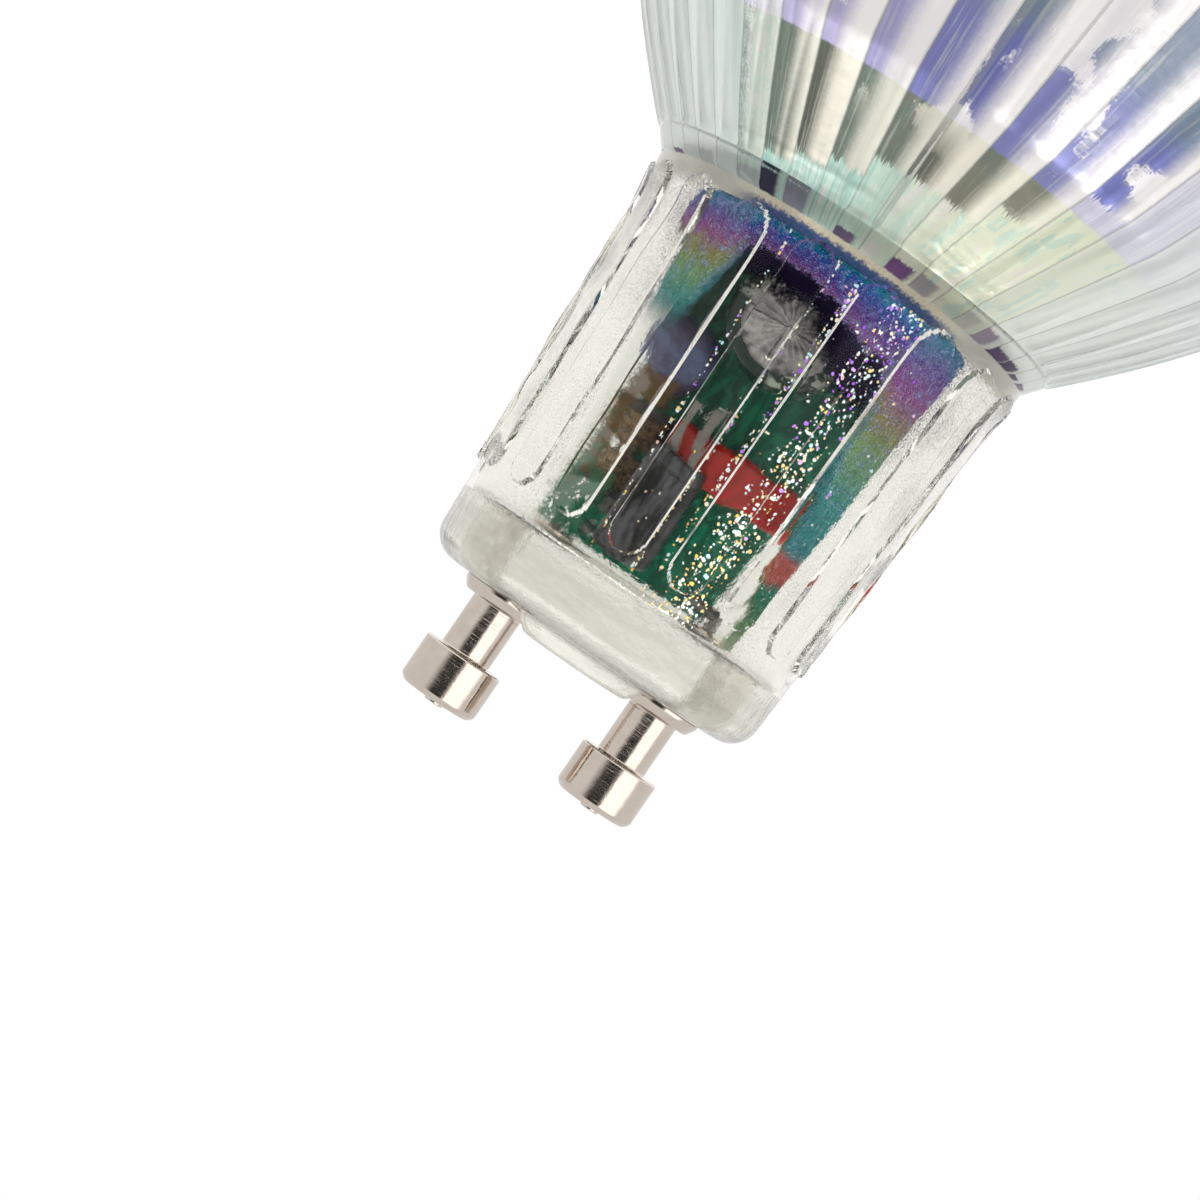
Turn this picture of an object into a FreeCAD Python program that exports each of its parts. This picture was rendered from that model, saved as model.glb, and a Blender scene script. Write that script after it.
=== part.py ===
import FreeCAD
import Part
import Sketcher
import math
import os

# A mains spotlight bulb with a pressed glass body, standing face down on its front rim.
# The frame's origin is the centre of the rim, +Z points to the contact pins, and the
# driver board inside faces -Y. All lengths are millimetres.

doc = FreeCAD.newDocument("spotlight_bulb")

# Driving dimensions
SIZES = {
    # Glass body, from the rim up to the foot
    "rim_radius": 25.0,
    "rim_height": 5.0,
    "bowl_height": 17.1,
    "bowl_curve": 68.0,
    "waist_step": 1.1,
    "waist_height": 1.1,
    "neck_height": 25.0,
    "neck_flare": 1.2,
    "neck_wall": 3.5,
    "cavity_flare": 1.6,
    "mouth_height": 1.5,
    "foot_rounding": 1.6,
    "glass_floor": 3.75,
    # Raised land between the two pins
    "land_height": 1.0,
    "land_width": 8.2,
    "land_length": 15.0,
    "land_taper": 45.0,
    "spot_clearance": 0.15,
    # Reeds round the neck and flutes round the bowl
    "rib_count": 18,
    "rib_turn": -8.0,
    "rib_height": 0.4,
    "rib_curve": 1.7,
    "rib_top_gap": 0.6,
    "rib_foot_gap": 5.1,
    "flute_count": 40,
    "flute_overlap": 1.03,
    # Contact pins
    "pin_spacing": 10.0,
    "head_radius": 2.3,
    "head_height": 2.8,
    "head_chamfer": 0.3,
    "pip_radius": 0.55,
    "pip_height": 0.2,
    "post_radius": 1.45,
    "post_length": 3.1,
    "flange_radius": 2.35,
    "flange_thickness": 0.8,
    "flange_chamfer": 0.35,
    "shank_radius": 1.0,
    "shank_clearance": 0.05,
    "flare_radius": 1.3,
    "flare_thickness": 0.35,
    "flare_margin": 0.2,
    "wire_radius": 0.35,
    "wire_clearance": 0.05,
    "wire_drop": 1.2,
    "wire_inset": 1.4,
    # Front cover
    "rim_wall": 2.0,
    "cover_thickness": 1.8,
    "cover_recess": 0.5,
    "cover_clearance": 0.15,
    "cover_ledge": 1.6,
    # Heat spreader and light source
    "spreader_rise": 9.5,
    "spreader_radius": 16.4,
    "spreader_thickness": 1.5,
    "spreader_clearance": 0.2,
    "spreader_ledge": 1.2,
    "led_board_radius": 11.5,
    "led_board_thickness": 1.0,
    "led_count": 8,
    "led_size": 2.8,
    "led_height": 0.7,
    "led_ring": 6.8,
    # Driver board
    "board_face": 3.0,
    "board_thickness": 1.0,
    "board_gap": 0.3,
    "tongue_width": 3.5,
    "tongue_clearance": 0.2,
    "lead_width": 0.5,
    "lead_clearance": 0.05,
    "lead_tail": 0.5,
    "part_gap": 0.1,
    # Storage capacitor, standing on the board and pointing at the wall
    "can_x": 0.5,
    "can_drop": 0.7,
    "can_radius": 3.0,
    "can_length": 8.0,
    "can_wall": 0.3,
    "bung_length": 1.6,
    "sleeve_thickness": 0.15,
    "sleeve_lap": 0.7,
    "can_pitch": 2.5,
    # Smoothing capacitor, lying along the board
    "bulk_x": 1.3,
    "bulk_radius": 1.65,
    "bulk_length": 6.2,
    "bulk_edge": 0.3,
    "bulk_end_gap": 0.9,
    "bulk_pitch": 1.2,
    "bulk_lead_drop": 1.0,
    # Film capacitor, lying across the board behind the smoothing capacitor
    "film_length": 8.5,
    "film_height": 2.6,
    "film_depth": 3.0,
    "film_edge": 0.5,
    "film_lap": 0.75,
    "film_pitch": 6.0,
    # Choke, wound on a drum core
    "choke_x": 4.6,
    "choke_radius": 1.9,
    "choke_length": 5.2,
    "choke_cheek": 0.5,
    "choke_core": 0.8,
    "choke_end_gap": 3.3,
    "choke_lead_rise": 0.7,
    "choke_pitch": 1.0,
    "choke_lead_shift": 0.6,
    "winding_inset": 0.15,
    # Varistor disc
    "varistor_x": 4.8,
    "varistor_radius": 2.2,
    "varistor_thickness": 2.2,
    "varistor_edge": 0.6,
    "varistor_gap": 1.0,
    "varistor_drop": 0.8,
    "varistor_pitch": 1.2,
    # Parts on the back of the driver board
    "rectifier_width": 4.0,
    "rectifier_height": 3.4,
    "rectifier_depth": 1.3,
    "rectifier_x": -1.2,
    "chip_width": 3.4,
    "chip_height": 4.6,
    "chip_depth": 1.2,
    "chip_x": -2.8,
    "chip_rise": 3.0,
    "leg_length": 0.7,
    "leg_width": 0.45,
    "leg_thickness": 0.2,
    "leg_pitch": 1.1,
    "leg_count": 4,
    "resistor_width": 1.6,
    "resistor_height": 0.8,
    "resistor_depth": 0.45,
    "resistor_x": 2.8,
    "resistor_pitch": 1.4,
    "resistor_count": 3,
    "resistor_gap": 0.6,
    "ceramic_width": 1.8,
    "ceramic_height": 1.2,
    "ceramic_depth": 0.9,
    "ceramic_x": 3.4,
    "ceramic_pitch": 1.8,
    "ceramic_count": 2,
    "ceramic_gap": 0.5,
    "radio_width": 9.0,
    "radio_height": 8.0,
    "radio_thickness": 0.8,
    "radio_rise": 1.5,
    "shield_margin": 1.0,
    "shield_depth": 1.4,
    "shield_wall": 0.2,
}

# Radii and levels that follow from the driving dimensions
PLACES = {
    # Glass
    "rim_top": "Sizes.rim_height",
    "waist_level": "Sizes.rim_height + Sizes.bowl_height",
    "neck_top_level": "waist_level + Sizes.waist_height",
    "mouth_level": "waist_level + Sizes.mouth_height",
    "seat_level": "waist_level + Sizes.neck_height",
    "floor_level": "seat_level - Sizes.glass_floor",
    "pin_x": "Sizes.pin_spacing / 2",
    "floor_radius": "pin_x + Sizes.flare_radius + Sizes.flare_margin",
    "mouth_radius": "floor_radius + Sizes.cavity_flare",
    "foot_radius": "floor_radius + Sizes.neck_wall",
    "neck_top_radius": "foot_radius + Sizes.neck_flare",
    "waist_radius": "neck_top_radius + Sizes.waist_step",
    "foot_edge_level": "seat_level - Sizes.foot_rounding",
    "foot_flat_radius": "foot_radius - Sizes.foot_rounding",
    "foot_middle_radius": "foot_flat_radius + Sizes.foot_rounding * cos(45deg)",
    "foot_middle_level": "foot_edge_level + Sizes.foot_rounding * sin(45deg)",
    # Reeds: each is a long rod with pointed ends whose crown stands rib_height proud of the neck
    "neck_slope": "Sizes.neck_flare / (foot_edge_level - neck_top_level)",
    "rib_top_level": "neck_top_level + Sizes.rib_top_gap",
    "rib_foot_level": "seat_level - Sizes.rib_foot_gap",
    "rib_sink": "Sizes.rib_curve - Sizes.rib_height",
    "rib_top_centre": "rib_top_level + Sizes.rib_curve",
    "rib_foot_centre": "rib_foot_level - Sizes.rib_curve",
    "rib_top_axis": "neck_top_radius - neck_slope * (rib_top_centre - neck_top_level) - rib_sink",
    "rib_foot_axis": "neck_top_radius - neck_slope * (rib_foot_centre - neck_top_level) - rib_sink",
    # Flutes: each is a flat facet that follows the bowl's curve
    "flute_angle": "180 / Sizes.flute_count",
    "flute_half_waist": "Sizes.flute_overlap * waist_radius * sin(flute_angle * 1deg)",
    "flute_half_rim": "Sizes.flute_overlap * Sizes.rim_radius * sin(flute_angle * 1deg)",
    "facet_waist_r": "sqrt(waist_radius^2 - flute_half_waist^2)",
    "facet_rim_r": "sqrt(Sizes.rim_radius^2 - flute_half_rim^2)",
    "facet_width": "2 * flute_half_rim + flute_half_waist",
    # Front cover
    "cover_bore": "Sizes.rim_radius - Sizes.rim_wall",
    "cover_radius": "cover_bore - Sizes.cover_clearance",
    "cover_seat": "Sizes.cover_recess + Sizes.cover_thickness",
    "ledge_radius": "cover_bore - Sizes.cover_ledge",
    # Heat spreader and light source, stacked towards the cover
    "spreader_seat": "rim_top + Sizes.spreader_rise",
    "spreader_face": "spreader_seat - Sizes.spreader_thickness",
    "spreader_bore": "Sizes.spreader_radius + Sizes.spreader_clearance",
    "spreader_ledge_radius": "spreader_bore - Sizes.spreader_ledge",
    "led_board_face": "spreader_face - Sizes.led_board_thickness",
    "led_face": "led_board_face - Sizes.led_height",
    # Driver board
    "board_back": "Sizes.board_face + Sizes.board_thickness",
    "board_foot": "spreader_seat + Sizes.board_gap",
    "board_top": "floor_level - Sizes.board_gap",
    "board_top_half": "sqrt(floor_radius^2 - board_back^2) - Sizes.board_gap",
    "board_mouth_half": "sqrt(mouth_radius^2 - board_back^2) - Sizes.board_gap",
    "slot_half": "Sizes.tongue_width / 2 + Sizes.tongue_clearance",
    "slot_front": "Sizes.board_face - Sizes.tongue_clearance",
    "slot_thickness": "Sizes.board_thickness + 2 * Sizes.tongue_clearance",
    "lead_half": "Sizes.lead_width / 2",
    "lead_hole_half": "lead_half + Sizes.lead_clearance",
    "wire_hole": "Sizes.wire_radius + Sizes.wire_clearance",
    "tail_end": "board_back + Sizes.lead_tail",
    # Components, set out from the cavity floor towards the mouth
    "wire_level": "floor_level - Sizes.wire_drop",
    "wire_x": "pin_x - Sizes.wire_inset",
    "bulk_top": "floor_level - Sizes.bulk_end_gap",
    "bulk_foot": "bulk_top - Sizes.bulk_length",
    "choke_top": "floor_level - Sizes.choke_end_gap",
    "choke_foot": "choke_top - Sizes.choke_length",
    "choke_y": "Sizes.board_face - Sizes.choke_radius",
    "choke_lead_level": "choke_top + Sizes.choke_lead_rise",
    "choke_lead_x": "Sizes.choke_x - Sizes.choke_lead_shift",
    "winding_radius": "Sizes.choke_radius - Sizes.winding_inset",
    "film_right": "Sizes.choke_x - Sizes.choke_radius - Sizes.part_gap",
    "film_x": "film_right - Sizes.film_length / 2",
    "film_front": "Sizes.board_face - Sizes.film_depth",
    "film_foot": "bulk_foot + Sizes.film_lap - Sizes.film_height",
    "film_level": "film_foot + Sizes.film_height / 2",
    "bulk_y": "film_front - Sizes.part_gap - Sizes.bulk_radius",
    "bulk_lead_level": "film_foot - Sizes.bulk_lead_drop",
    "varistor_level": "choke_foot - Sizes.varistor_drop - Sizes.varistor_radius",
    "varistor_back": "Sizes.board_face - Sizes.varistor_gap",
    "sleeve_radius": "Sizes.can_radius + Sizes.sleeve_thickness",
    "can_reach": "sleeve_radius + Sizes.varistor_radius + Sizes.can_drop",
    "can_level": "varistor_level - sqrt(can_reach^2 - (Sizes.varistor_x - Sizes.can_x)^2)",
    "chip_level": "can_level + Sizes.chip_rise",
    "rectifier_foot": "film_level + Sizes.film_edge + lead_half + Sizes.part_gap",
    "resistor_foot": "film_level + Sizes.resistor_gap",
    "radio_foot": "board_foot + Sizes.radio_rise",
    "ceramic_foot": "radio_foot + Sizes.radio_height + Sizes.ceramic_gap",
}


def fill_sheet(name, cells, prefix):
    """Writes one named value to a row and returns the sheet."""
    sheet = doc.addObject("Spreadsheet::Sheet", name)
    for row, (alias, text) in enumerate(cells.items(), 1):
        sheet.set(f"A{row}", alias)
        sheet.setAlias(f"B{row}", alias)
        sheet.set(f"B{row}", prefix + str(text))
    doc.recompute()
    return sheet


sizes = fill_sheet("Sizes", SIZES, "")
places = fill_sheet("Places", PLACES, "=")

# Holds the present value of a formula, for drawing an outline near its final place
gauge = doc.addObject("App::FeaturePython", "Gauge")
gauge.addProperty("App::PropertyFloat", "Reading")


def reading(formula):
    """The present value of a formula on the two sheets."""
    gauge.setExpression("Reading", formula)
    gauge.recompute()
    return gauge.Reading


FULL_TURN = 360
QUARTER_TURN = FULL_TURN / 4
parts = []


def finish(piece, label):
    """Names a finished sub-part and puts it on the list of those to write."""
    piece.Label = label
    parts.append(piece)
    return piece


def place(piece, x="0", y="0", z="0"):
    """Binds a piece's position to three formulas."""
    piece.setExpression("Placement.Base.x", x)
    piece.setExpression("Placement.Base.y", y)
    piece.setExpression("Placement.Base.z", z)
    return piece


def turn_to(piece, axis):
    """Lays a piece that was made along +Z along another axis."""
    turns = {"x": (0, 1, 0), "y": (-1, 0, 0), "-y": (1, 0, 0)}
    if axis in turns:
        rotation = FreeCAD.Rotation(FreeCAD.Vector(*turns[axis]), QUARTER_TURN)
        piece.Placement = FreeCAD.Placement(piece.Placement.Base, rotation)
    return piece


# Sketches and turned pieces

def origin_feature(body, role):
    """One of a body's own origin planes or axes."""
    return next(item for item in body.Origin.OriginFeatures if item.Role == role)


def new_body(name):
    return doc.addObject("PartDesign::Body", name)


def new_sketch(body, name, role):
    """A sketch on one of the body's own origin planes."""
    sketch = body.newObject("Sketcher::SketchObject", name)
    sketch.AttachmentSupport = (origin_feature(body, role), [""])
    sketch.MapMode = "FlatFace"
    return sketch


def bind(sketch, kind, element, formula):
    """Adds a dimension whose value is a formula."""
    index = sketch.addConstraint(Sketcher.Constraint(kind, *element, reading(formula)))
    sketch.setExpression(f"Constraints[{index}]", formula)


def pin_point(sketch, curve, end, across, along):
    """Fixes one end of a curve at two formulas, or on an axis where a formula is zero."""
    for kind, axis, formula in (("DistanceX", -2, across), ("DistanceY", -1, along)):
        if formula == "0":
            sketch.addConstraint(Sketcher.Constraint("PointOnObject", curve, end, axis))
        else:
            bind(sketch, kind, (-1, 1, curve, end), formula)


def arc_between(start, end, radius):
    """A first guess at the arc of this radius that leaves its chord on the left."""
    chord = end - start
    half = chord.Length / 2
    left = FreeCAD.Vector(-chord.y, chord.x, 0).normalize()
    rise = radius - (radius**2 - half**2)**0.5
    return Part.Arc(start, start + chord * 0.5 - left * rise, end)


def draw_outline(sketch, corners, bends=None):
    """Draws a closed outline; bends gives the radius of a side that is an arc."""
    bends = bends or {}
    points = [FreeCAD.Vector(reading(across), reading(along), 0) for across, along in corners]
    curves = []
    heads = []
    for side, start in enumerate(points):
        end = points[(side + 1) % len(points)]
        if side in bends:
            shape = arc_between(start, end, reading(bends[side]))
        else:
            shape = Part.LineSegment(start, end)
        curve = sketch.addGeometry(shape, False)
        near = sketch.getPoint(curve, 1).distanceToPoint(start)
        far = sketch.getPoint(curve, 2).distanceToPoint(start)
        curves.append(curve)
        heads.append(1 if near < far else 2)
    for side, curve in enumerate(curves):
        following = (side + 1) % len(curves)
        tail = 2 if heads[side] == 1 else 1
        head = heads[following]
        sketch.addConstraint(Sketcher.Constraint("Coincident", curve, tail, curves[following], head))
        pin_point(sketch, curve, heads[side], *corners[side])
        if side in bends:
            bind(sketch, "Radius", (curve,), bends[side])
    return curves


def revolve(body, name, sketch, axis, cut=False):
    """Turns a sketch once round an axis, adding to the body or cutting it."""
    kind = "PartDesign::Groove" if cut else "PartDesign::Revolution"
    feature = body.newObject(kind, name)
    feature.Profile = sketch
    feature.ReferenceAxis = axis
    feature.Angle = FULL_TURN
    body.Tip = feature
    return feature


def polar(body, name, original, count):
    """Repeats a feature evenly round the body's Z axis."""
    pattern = body.newObject("PartDesign::PolarPattern", name)
    pattern.Originals = [original]
    pattern.Axis = (origin_feature(body, "Z_Axis"), [""])
    pattern.Angle = FULL_TURN
    pattern.setExpression("Occurrences", count)
    body.Tip = pattern
    return pattern


def turned(name, corners, bends=None):
    """A body turned about its own Z axis from an outline of radius and height."""
    body = new_body(name)
    sketch = new_sketch(body, name + "_outline", "XZ_Plane")
    draw_outline(sketch, corners, bends)
    revolve(body, name + "_turn", sketch, (sketch, ["V_Axis"]))
    return body


def add_circle(sketch, across, along, radius):
    """A circle whose centre and radius are formulas."""
    centre = FreeCAD.Vector(reading(across), reading(along), 0)
    normal = FreeCAD.Vector(0, 0, 1)
    curve = sketch.addGeometry(Part.Circle(centre, normal, reading(radius)), False)
    pin_point(sketch, curve, 3, across, along)
    bind(sketch, "Radius", (curve,), radius)


def pocket(body, name, sketch, length, midplane=False, reverse=False):
    """Cuts a sketch into the body by a length, and checks that something was cut."""
    doc.recompute()
    before = body.Shape.Volume
    feature = body.newObject("PartDesign::Pocket", name)
    feature.Profile = sketch
    feature.setExpression("Length", length)
    feature.SideType = "Symmetric" if midplane else "One side"
    feature.Reversed = reverse
    body.Tip = feature
    doc.recompute()
    if body.Shape.Volume >= before:
        raise RuntimeError(name + " cuts nothing")
    return feature


# Part primitives

def box(name, width, depth, height, x, y, z):
    """A block given by its formulas of size and of its lowest corner."""
    piece = doc.addObject("Part::Box", name)
    piece.setExpression("Length", width)
    piece.setExpression("Width", depth)
    piece.setExpression("Height", height)
    return place(piece, x, y, z)


def rod(name, radius, length, x, y, z, axis="z"):
    """A cylinder that starts at a point and runs along an axis."""
    piece = doc.addObject("Part::Cylinder", name)
    piece.setExpression("Radius", radius)
    piece.setExpression("Height", length)
    turn_to(piece, axis)
    return place(piece, x, y, z)


def wire(name, radius, points):
    """A round wire with mitred bends through a few points, leaving the first along Z."""
    runs = []
    for number, (start, end) in enumerate(zip(points, points[1:])):
        run = doc.addObject("Part::Line", f"{name}_run_{number}")
        for suffix, point in (("1", start), ("2", end)):
            for axis, formula in zip("XYZ", point):
                run.setExpression(axis + suffix, formula)
        runs.append(run)
    section = doc.addObject("Part::Circle", name + "_section")
    section.setExpression("Radius", radius)
    place(section, *points[0])
    sweep = doc.addObject("Part::Sweep", name)
    sweep.Sections = [section]
    sweep.Spine = (join("Part::Compound", name + "_route", runs), [])
    sweep.Transition = "Right corner"
    sweep.Solid = True
    return sweep


def join(kind, name, shapes):
    """A fusion or a group of several pieces."""
    group = doc.addObject(kind, name)
    setattr(group, "Links" if kind == "Part::Compound" else "Shapes", shapes)
    return group


def cut(name, base, tool):
    """A piece with another one taken away from it."""
    piece = doc.addObject("Part::Cut", name)
    piece.Base = base
    piece.Tool = tool
    return piece


# Glass body: a pressed reflector lamp blank with a thick neck

def glass_outside(body):
    """Rim band, bowl, waist ring, neck and rounded foot."""
    sketch = new_sketch(body, "glass_outside", "XZ_Plane")
    corners = [
        ("0", "0"),
        ("Sizes.rim_radius", "0"),
        ("Sizes.rim_radius", "Places.rim_top"),
        ("Places.waist_radius", "Places.waist_level"),
        ("Places.neck_top_radius", "Places.neck_top_level"),
        ("Places.foot_radius", "Places.foot_edge_level"),
        ("Places.foot_middle_radius", "Places.foot_middle_level"),
        ("Places.foot_flat_radius", "Places.seat_level"),
        ("0", "Places.seat_level"),
    ]
    draw_outline(sketch, corners, {2: "Sizes.bowl_curve"})
    revolve(body, "glass_blank", sketch, (sketch, ["V_Axis"]))


def glass_reeds(body):
    """Raised reeds along the neck, run out at both ends by a cone."""
    sketch = new_sketch(body, "reed_outline", "XZ_Plane")
    first_reed = FreeCAD.Rotation(FreeCAD.Vector(0, 1, 0), reading("Sizes.rib_turn"))
    sketch.AttachmentOffset = FreeCAD.Placement(FreeCAD.Vector(), first_reed)
    sketch.setExpression("AttachmentOffset.Rotation.Angle", "Sizes.rib_turn * 1deg")
    inwards = "Places.rib_top_axis - Places.rib_foot_axis"
    lean = f"atan2({inwards}; Places.rib_foot_centre - Places.rib_top_centre)"
    across = f"Sizes.rib_curve * cos({lean})"
    along = f"Sizes.rib_curve * sin({lean})"
    corners = [
        (f"Places.rib_top_axis + {along}", f"Places.rib_top_centre - {across}"),
        (f"Places.rib_top_axis + {across}", f"Places.rib_top_centre + {along}"),
        (f"Places.rib_foot_axis + {across}", f"Places.rib_foot_centre + {along}"),
        (f"Places.rib_foot_axis - {along}", f"Places.rib_foot_centre + {across}"),
    ]
    curves = draw_outline(sketch, corners)
    reed = revolve(body, "reed", sketch, (sketch, [f"Edge{curves[3] + 1}"]))
    polar(body, "reeds", reed, "Sizes.rib_count")


def glass_flutes(body):
    """Facets that fan out over the bowl and meet each other in sharp arrises."""
    sketch = new_sketch(body, "flute_outline", "XZ_Plane")
    half_flute = FreeCAD.Rotation(FreeCAD.Vector(0, 1, 0), reading("Places.flute_angle"))
    sketch.AttachmentOffset = FreeCAD.Placement(FreeCAD.Vector(), half_flute)
    sketch.setExpression("AttachmentOffset.Rotation.Angle", "Places.flute_angle * 1deg")
    corners = [
        ("Places.facet_rim_r", "Places.rim_top"),
        ("Places.facet_waist_r", "Places.waist_level"),
        ("Places.facet_waist_r + Places.flute_half_rim", "Places.waist_level"),
        ("Places.facet_rim_r + Places.flute_half_rim", "Places.rim_top"),
    ]
    draw_outline(sketch, corners, {0: "Sizes.bowl_curve"})
    flute = pocket(body, "flute", sketch, "Places.facet_width", midplane=True)
    polar(body, "flutes", flute, "Sizes.flute_count")


def glass_land(body):
    """The raised land between the pins, with a sunk seat for each pin's flange."""
    sketch = new_sketch(body, "land_outline", "XY_Plane")
    sketch.setExpression("AttachmentOffset.Base.z", "Places.seat_level")
    half = reading("Sizes.land_width / 2")
    reach = reading("Sizes.land_length / 2") - half
    normal = FreeCAD.Vector(0, 0, 1)
    near = Part.Circle(FreeCAD.Vector(0, -reach, 0), normal, half)
    far = Part.Circle(FreeCAD.Vector(0, reach, 0), normal, half)
    front = sketch.addGeometry(Part.ArcOfCircle(near, math.pi, 2 * math.pi), False)
    right = sketch.addGeometry(
        Part.LineSegment(FreeCAD.Vector(half, -reach, 0), FreeCAD.Vector(half, reach, 0)), False)
    back = sketch.addGeometry(Part.ArcOfCircle(far, 0, math.pi), False)
    left = sketch.addGeometry(
        Part.LineSegment(FreeCAD.Vector(-half, reach, 0), FreeCAD.Vector(-half, -reach, 0)), False)
    for curve, end, following, start in ((front, 2, right, 1), (right, 2, back, 1),
                                         (back, 2, left, 1), (left, 2, front, 1)):
        sketch.addConstraint(Sketcher.Constraint("Tangent", curve, end, following, start))
    sketch.addConstraint(Sketcher.Constraint("Vertical", right))
    sketch.addConstraint(Sketcher.Constraint("Symmetric", front, 3, back, 3, -1, 1))
    sketch.addConstraint(Sketcher.Constraint("PointOnObject", front, 3, -2))
    bind(sketch, "Radius", (front,), "Sizes.land_width / 2")
    bind(sketch, "DistanceY", (front, 3, back, 3), "Sizes.land_length - Sizes.land_width")
    land = body.newObject("PartDesign::Pad", "land")
    land.Profile = sketch
    land.setExpression("Length", "Sizes.land_height")
    land.setExpression("TaperAngle", "-Sizes.land_taper")
    body.Tip = land
    seats = new_sketch(body, "seat_outline", "XY_Plane")
    seats.setExpression("AttachmentOffset.Base.z", "Places.seat_level + Sizes.land_height")
    for pin in ("Places.pin_x", "-Places.pin_x"):
        add_circle(seats, pin, "0", "Sizes.flange_radius + Sizes.spot_clearance")
    pocket(body, "pin_seats", seats, "Sizes.land_height")


def glass_inside(body):
    """Cover seat, inside of the bowl, spreader seat and the cavity of the neck."""
    sketch = new_sketch(body, "glass_inside", "XZ_Plane")
    corners = [
        ("0", "0"),
        ("Places.cover_bore", "0"),
        ("Places.cover_bore", "Places.cover_seat"),
        ("Places.ledge_radius", "Places.cover_seat"),
        ("Places.ledge_radius", "Places.rim_top"),
        ("Places.spreader_bore", "Places.spreader_face"),
        ("Places.spreader_bore", "Places.spreader_seat"),
        ("Places.spreader_ledge_radius", "Places.spreader_seat"),
        ("Places.mouth_radius", "Places.mouth_level"),
        ("Places.floor_radius", "Places.floor_level"),
        ("0", "Places.floor_level"),
    ]
    draw_outline(sketch, corners)
    revolve(body, "glass_cavity", sketch, (sketch, ["V_Axis"]), cut=True)


def glass_pin_holes(body):
    """A hole through the foot for each pin's shank."""
    sketch = new_sketch(body, "pin_holes", "XY_Plane")
    sketch.setExpression("AttachmentOffset.Base.z", "Places.seat_level")
    for pin in ("Places.pin_x", "-Places.pin_x"):
        add_circle(sketch, pin, "0", "Sizes.shank_radius + Sizes.shank_clearance")
    pocket(body, "pin_bores", sketch, "Sizes.glass_floor")


glass = new_body("glass_body_solid")
glass_outside(glass)
glass_reeds(glass)
glass_flutes(glass)
glass_land(glass)
glass_inside(glass)
glass_pin_holes(glass)
finish(glass, "glass_body")


# Contact pins: turned rivets with a head to twist into the holder

def contact_pin(label, pin):
    """One pin, measured up from its flared end inside the cavity."""
    flange = "Sizes.flare_thickness + Sizes.glass_floor"
    post = flange + " + Sizes.flange_thickness"
    head = post + " + Sizes.post_length"
    end = head + " + Sizes.head_height"
    corners = [
        ("0", "0"),
        ("Sizes.flare_radius", "0"),
        ("Sizes.flare_radius", "Sizes.flare_thickness"),
        ("Sizes.shank_radius", "Sizes.flare_thickness"),
        ("Sizes.shank_radius", flange),
        ("Sizes.flange_radius", flange),
        ("Sizes.flange_radius - Sizes.flange_chamfer", post),
        ("Sizes.post_radius", post),
        ("Sizes.post_radius", head),
        ("Sizes.head_radius", head),
        ("Sizes.head_radius", end + " - Sizes.head_chamfer"),
        ("Sizes.head_radius - Sizes.head_chamfer", end),
        ("Sizes.pip_radius", end),
        ("Sizes.pip_radius", end + " + Sizes.pip_height"),
        ("0", end + " + Sizes.pip_height"),
    ]
    body = turned(label + "_solid", corners)
    place(body, pin, "0", "Places.floor_level - Sizes.flare_thickness")
    return finish(body, label)


contact_pin("contact_pin_left", "-Places.pin_x")
contact_pin("contact_pin_right", "Places.pin_x")


# Wires and component leads

def lead_wire(label, side):
    """A wire from a pin's flared end down, across and through the driver board."""
    start = "Places.floor_level - Sizes.flare_thickness"
    level = "Places.wire_level"
    outer = f"{side} * Places.pin_x"
    inner = f"{side} * Places.wire_x"
    route = [
        (outer, "0", start),
        (outer, "0", level),
        (inner, "0", level),
        (inner, "Places.tail_end", level),
    ]
    return finish(wire(label + "_solid", "Sizes.wire_radius", route), label)


lead_wire("lead_wire_left", -1)
lead_wire("lead_wire_right", 1)

# Each lead's place on the board, for its wire and its hole
lead_holes = []


def lead_pair(x, pitch):
    """The two places across the board of a component's leads."""
    return [f"{x} - {pitch} / 2", f"{x} + {pitch} / 2"]


def lead_run(name, across, y, level):
    """A square lead that runs back from a depth through the board."""
    return box(name, "Sizes.lead_width", f"Places.tail_end - ({y})", "Sizes.lead_width",
               f"{across} - Places.lead_half", y, f"{level} - Places.lead_half")


def straight_leads(label, x, pitch, y, level):
    """Two leads that run straight back from a component through the board."""
    leads = []
    for number, across in enumerate(lead_pair(x, pitch)):
        leads.append(lead_run(f"{label}_{number}", across, y, level))
        lead_holes.append((across, level))
    return finish(join("Part::Compound", label + "_pair", leads), label)


def bent_leads(label, x, pitch, y, level, end):
    """Two leads that leave a component along the board and bend back through it."""
    leads = []
    front = f"{y} - Places.lead_half"
    upward = reading(end) > reading(level)
    low = level if upward else f"{end} - Places.lead_half"
    high = f"{end} + Places.lead_half" if upward else level
    for number, across in enumerate(lead_pair(x, pitch)):
        name = f"{label}_{number}"
        along = box(name + "_along", "Sizes.lead_width", "Sizes.lead_width", f"{high} - ({low})",
                    f"{across} - Places.lead_half", front, low)
        leads.append(join("Part::MultiFuse", name, [along, lead_run(name + "_back", across, front, end)]))
        lead_holes.append((across, end))
    return finish(join("Part::Compound", label + "_pair", leads), label)


# Storage capacitor: an aluminium can in a plastic sleeve, closed by a rubber bung

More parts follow.
